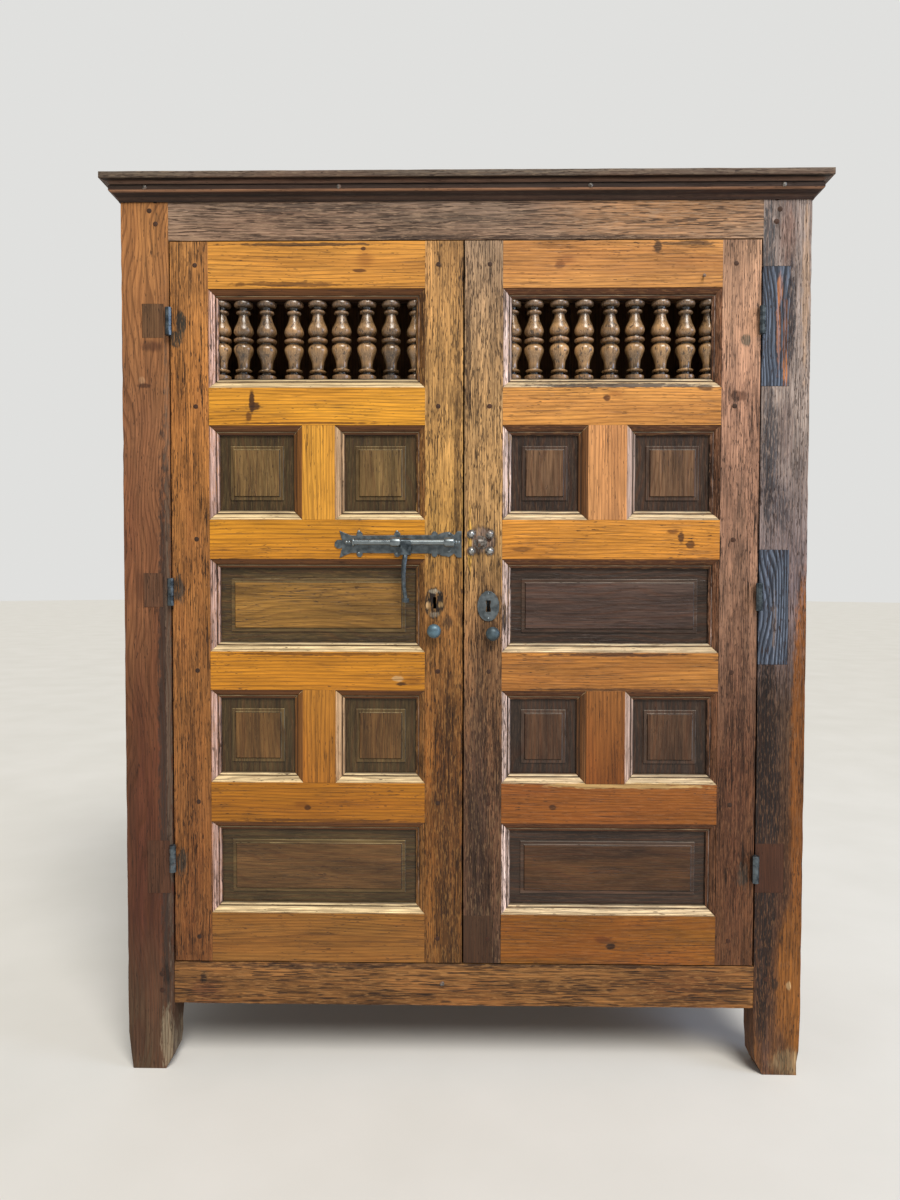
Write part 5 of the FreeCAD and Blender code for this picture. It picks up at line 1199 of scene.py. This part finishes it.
@dataclass
class CaseWork:
    """The standing case: posts, rails, boards, cornice, pegs and nails."""

    shop: Workshop
    post_wear: Wear = Wear(2.4, 3, 24.0, 1.8, seed=1.0)
    rail_wear: Wear = Wear(1.8, 2, 22.0, 1.5, seed=2.0)
    cornice_wear: Wear = Wear(0.9, 2, 30.0, 0.9, seed=3.0)
    patch_wear: Wear = Wear(0.6, 2)
    hinge_wear: Wear = Wear(0.5, 2, smooth_angle=60.0)
    peg_radius: float = 5.0
    head_pegs: Profile = ((-595.5, 1650.0), (590.0, 1648.0))
    foot_taper: float = 7.0
    foot_height: float = 120.0
    foot_cell: float = 30.0
    nail_radius: float = 4.6
    nail_rise: float = 2.0
    black_from: float = 600.0
    rail_nail: tuple[float, float] = (-39.5, 172.7)

    def worn(self, node: str, wear: Wear) -> Piece:
        """Put a worn copy in the place of one of the case's nodes."""
        return self.shop.worn(node, wear, Body.CASE, CASE_FINISHES[node])

    def wear_foot(self, piece: Piece) -> None:
        """Round off a post's foot, which damp and brooms have eaten."""
        centre = sum(vertex.co.x for vertex in piece.data.vertices) / len(piece.data.vertices)
        for vertex in piece.data.vertices:
            share = max(0.0, 1 - vertex.co.z / (self.foot_height * MM)) ** 2
            rough = 1 + noise.noise(vertex.co / (self.foot_cell * MM))
            out = -1 if vertex.co.x > centre else 1
            vertex.co.x += out * share * rough * self.foot_taper * MM

    def patches(self) -> None:
        """Let in the repairs, each with its own wood."""
        piece = self.worn("post_patches", self.patch_wear)
        for finish in (BLACK_REPAIR, BROWN_REPAIR):
            piece.data.materials.append(self.shop.material(finish))
        for face in piece.data.polygons:
            if face.center.x > 0:
                face.material_index = 2 if face.center.z / MM < self.black_from else 1
            else:
                face.material_index = 0

    def nails(self) -> None:
        """Drive the cornice's nails and the one in the bottom rail."""
        size = (self.nail_rise, self.nail_radius, SMALL_SIDES)
        heads = domed(feet("cornice_nails"), *size, "cornice_nails_domed")
        self.shop.place(heads, Body.CASE, RUSTY, "cornice_nails")
        across, up = self.rail_nail
        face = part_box("front_bottom_rail")[0].y / MM
        head = domed([(across, face, up)], *size, "bottom_rail_nail")
        self.shop.place(head, Body.CASE, RUSTY, slot="rusty_iron")

    def build(self) -> None:
        """Build and dress the case."""
        for node, finish in CASE_FINISHES.items():
            self.shop.dress_node(node, finish)
        for node in ("front_post_left", "front_post_right"):
            self.wear_foot(self.worn(node, self.post_wear))
        for node in ("front_bottom_rail", "front_top_rail"):
            self.worn(node, self.rail_wear)
        for node in ("cornice_front", "cornice_sides", "top_boards"):
            self.worn(node, self.cornice_wear)
        self.patches()
        for node in ("hinge_post_leaves", "hinge_pins"):
            self.worn(node, self.hinge_wear)
        heads = peg_heads("frame_pegs", self.peg_radius, self.head_pegs)
        self.shop.place(heads, Body.CASE, PEGS, "frame_pegs")
        self.nails()
        LOG.info("case ready")


@dataclass
class DoorWork:
    """One door: frame, panels, turned grille, pegs, hinges and knob."""

    shop: Workshop
    side: str
    body: Body
    stile_wear: Wear = Wear(1.0, 2, 22.0, 0.9, seed=4.0)
    rail_wear: Wear = Wear(0.8, 2, 24.0, 0.6, seed=5.0)
    panel_wear: Wear = Wear(0.5, 2)
    hinge_wear: Wear = Wear(0.5, 2, smooth_angle=60.0)
    peg_radius: float = 4.7
    foot_up: float = 1336.0
    turned_length: float = 150.0
    sway: float = 1.7
    least_girth: float = 0.96
    knob_reach: float = 24.0
    small_rows: Profile = ((563.0, 742.0), (1068.0, 1247.0))
    stray_nail: tuple[float, float] = (449.0, 1524.0)

    def node(self, part: str) -> str:
        """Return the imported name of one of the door's parts."""
        return self.side + "_" + part

    def worn(self, part: str, wear: Wear) -> Piece:
        """Put a worn copy in the place of one of the door's parts."""
        return self.shop.worn(self.node(part), wear, self.body, DOOR_FINISHES[self.side][part])

    def panels(self) -> None:
        """Build the panels, upright grain in the small ones and level grain in the wide."""
        piece = self.worn("panels", self.panel_wear)
        piece.data.materials.append(self.shop.material(WIDE_PANELS[self.side]))
        for face in piece.data.polygons:
            up = face.center.z / MM
            small = any(low < up < high for low, high in self.small_rows)
            face.material_index = 0 if small else 1

    def vary(self, piece: Piece, centre: float, chance: random.Random) -> None:
        """Shift a baluster's rings a little, as no two were turned alike.

        Args:
            piece: the baluster.
            centre: its axis across the door, in millimetres.
            chance: the seeded source of variation.
        """
        once, twice = (chance.uniform(-self.sway, self.sway) for _ in range(2))
        girth = chance.uniform(self.least_girth, 1.0)
        for vertex in piece.data.vertices:
            turn = math.pi * (vertex.co.z / MM - self.foot_up) / self.turned_length
            vertex.co.z += (once * math.sin(turn) + twice * math.sin(2 * turn)) * MM
            vertex.co.x = centre * MM + (vertex.co.x - centre * MM) * girth

    def balusters(self) -> None:
        """Turn the grille: whole balusters, and one cut in half against each stile."""
        node = self.node("balusters")
        boxes = islands(node)
        depth = (boxes[1][0].y + boxes[1][1].y) / 2
        centres = [(low.x + high.x) / 2 for low, high in boxes]
        centres[0], centres[-1] = boxes[0][0].x, boxes[-1][1].x
        first = Turning("baluster", Axis.Z, (centres[0], depth, self.foot_up), BALUSTER_PROFILE).build()
        pieces = [first] + [twin(first, (centre - centres[0], 0, 0)) for centre in centres[1:]]
        chance = random.Random(self.side)
        for piece, centre in zip(pieces, centres):
            self.vary(piece, centre, chance)
        for piece, edge, outer in ((pieces[0], centres[0], -1), (pieces[-1], centres[-1], 1)):
            select_only([piece])
            bpy.ops.object.mode_set(mode="EDIT")
            bpy.ops.mesh.select_all(action="SELECT")
            bpy.ops.mesh.bisect(plane_co=(edge * MM, 0, 0), plane_no=(outer, 0, 0),
                                use_fill=True, clear_outer=True)
            bpy.ops.object.mode_set(mode="OBJECT")
        self.shop.place(join(pieces, node + "_turned"), self.body, TURNED, node)

    def nail(self) -> None:
        """Leave an old nail standing in the top rail."""
        across, up = self.stray_nail
        start = (across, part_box(self.node("top_rail"))[0].y / MM, up)
        piece = Turning("top_rail_nail", Axis.Y, start, NAIL_PROFILE, sides=12, way=-1).build()
        self.shop.place(piece, self.body, RUSTY, slot="rusty_iron")

    def knob(self) -> None:
        """Build the domed knob."""
        node = self.node("knob")
        low, high = (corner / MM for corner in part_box(node))
        start = ((low.x + high.x) / 2, high.y, (low.z + high.z) / 2)
        profile = scaled(KNOB_PROFILE, self.knob_reach, (high.x - low.x) / 2)
        piece = Turning(node + "_domed", Axis.Y, start, profile, sides=32, way=-1).build()
        self.shop.place(piece, self.body, DOOR_FINISHES[self.side]["knob"], node)

    def build(self) -> None:
        """Build and dress the door."""
        for part in ("hinge_stile", "meeting_stile"):
            self.worn(part, self.stile_wear)
        for part in (*RAIL_PARTS, "muntins"):
            self.worn(part, self.rail_wear)
        if self.side == "right":
            self.worn("stile_patch", self.panel_wear)
            self.nail()
        self.worn("hinge_leaves", self.hinge_wear)
        self.panels()
        self.balusters()
        self.knob()
        node = self.node("door_pegs")
        self.shop.place(peg_heads(node, self.peg_radius), self.body, PEGS, node)
        LOG.info("%s door ready", self.side)


@dataclass
class BoltWork:
    """The slide bolt on the doors' face, with its plate, keeper and handle."""

    shop: Workshop
    plate_wear: Wear = Wear(0.5, 2, smooth_angle=40.0)
    bar_wear: Wear = Wear(0.9, 2, smooth_angle=55.0)
    axis_y: float = -246.0
    axis_z: float = 1025.0
    rod_start: float = -225.0
    barrel_radius: float = 9.4
    bore: float = 5.9
    rivet_radius: float = 2.7
    rivet_rise: float = 1.5
    ear_places: tuple[float, ...] = (-199.5, -126.9)
    ear_height: float = 20.5
    inner_rivets: float = -27.6
    inner_height: float = 16.0
    nail_radius: float = 6.3
    nail_rise: float = 4.6
    nail_sides: int = 20

    def rod(self) -> None:
        """Draw out the bolt with its beaded tips."""
        start = (self.rod_start, self.axis_y, self.axis_z)
        piece = Turning("bolt_rod_beaded", Axis.X, start, ROD_PROFILE).build()
        self.shop.place(piece, Body.BOLT, POLISHED, "bolt_rod")

    def staples(self) -> None:
        """Forge the two barrels that the bolt slides through."""
        places = [(low.x, self.axis_y, self.axis_z) for low, _ in islands("bolt_staples")]
        profile = tuple((along, self.bore + out * (self.barrel_radius - self.bore))
                        for along, out in BARREL_PROFILE)
        model = Turning("barrel", Axis.X, places[0], profile, ring=True)
        whole = repeat(model, places, "bolt_staples_forged")
        self.shop.place(whole, Body.LEFT_DOOR, POLISHED, "bolt_staples")

    def rivets(self) -> None:
        """Set the small heads that hold the plate."""
        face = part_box("bolt_plate")[0].y / MM
        columns = [(across, self.ear_height) for across in self.ear_places]
        columns.append((self.inner_rivets, self.inner_height))
        places = [(across, face, self.axis_z + way * height) for across, height in columns
                  for way in (1, -1)]
        heads = domed(places, self.rivet_rise, self.rivet_radius, SMALL_SIDES, "bolt_plate_rivets")
        self.shop.place(heads, Body.LEFT_DOOR, POLISHED, slot="iron")

    def keeper(self) -> None:
        """Build the keeper and its four domed nails."""
        self.shop.worn("bolt_keeper", self.plate_wear, Body.RIGHT_DOOR, RUSTY)
        heads = domed(feet("keeper_nails"), self.nail_rise, self.nail_radius, self.nail_sides,
                      "keeper_nails_domed")
        self.shop.place(heads, Body.RIGHT_DOOR, DOMED, "keeper_nails")

    def build(self) -> None:
        """Build and dress the bolt."""
        self.shop.worn("bolt_plate", self.plate_wear, Body.LEFT_DOOR, FORGED)
        self.shop.worn("bolt_handle", self.bar_wear, Body.HANDLE, BLACKENED)
        self.rod()
        self.staples()
        self.rivets()
        self.keeper()
        LOG.info("bolt ready")


@dataclass
class LockWork:
    """The rim lock: case, bolt and keeper inside, and the oval plate outside."""

    shop: Workshop
    plate_wear: Wear = Wear(0.6, 2, cut=3.0, smooth_angle=50.0)
    hole_reach: tuple[float, float] = (3.9, 12.5)
    hole_growth: Profile = ((-1.0, 1.5), (-0.55, 1.75), (-0.1, 1.2), (0.15, 1.05), (0.55, 1.6), (1.0, 1.35))
    pin_radius: float = 2.0
    pin_rise: float = 1.0
    pin_offset: float = 23.5
    pin_sides: int = 12

    def file_keyhole(self, piece: Piece, middle: Vector) -> None:
        """Widen the slot above and below its waist, as a keyhole.

        Args:
            piece: the oval plate.
            middle: its centre, in millimetres.
        """
        wide, tall = self.hole_reach
        for vertex in piece.data.vertices:
            aside = vertex.co.x / MM - middle.x
            up = (vertex.co.z / MM - middle.z) / tall
            if abs(aside) > wide or abs(up) > 1:
                continue
            for (below, start), (above, end) in zip(self.hole_growth, self.hole_growth[1:]):
                if below <= up <= above:
                    growth = start + (end - start) * (up - below) / (above - below)
                    vertex.co.x = (middle.x + aside * growth) * MM

    def build(self) -> None:
        """Build and dress the lock."""
        for node in ("lock_case", "lock_bolt", "lock_keeper"):
            self.shop.dress_node(node, FORGED)
        low, high = (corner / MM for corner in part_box("escutcheon"))
        middle = (low + high) / 2
        piece = self.shop.worn("escutcheon", self.plate_wear, Body.RIGHT_DOOR, FORGED)
        self.file_keyhole(piece, middle)
        places = [(middle.x, low.y, middle.z + way * self.pin_offset) for way in (1, -1)]
        heads = domed(places, self.pin_rise, self.pin_radius, self.pin_sides, "escutcheon_pins")
        self.shop.place(heads, Body.RIGHT_DOOR, POLISHED, slot="iron")
        LOG.info("lock ready")


def main() -> None:
    """Dress the cupboard, piece after piece."""
    logging.basicConfig(level=logging.INFO, format="%(message)s")
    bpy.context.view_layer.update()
    shop = Workshop()
    CaseWork(shop).build()
    DoorWork(shop, "left", Body.LEFT_DOOR).build()
    DoorWork(shop, "right", Body.RIGHT_DOOR).build()
    BoltWork(shop).build()
    LockWork(shop).build()
    Studio().build()
    Camera().build()


if __name__ == "__main__":
    main()
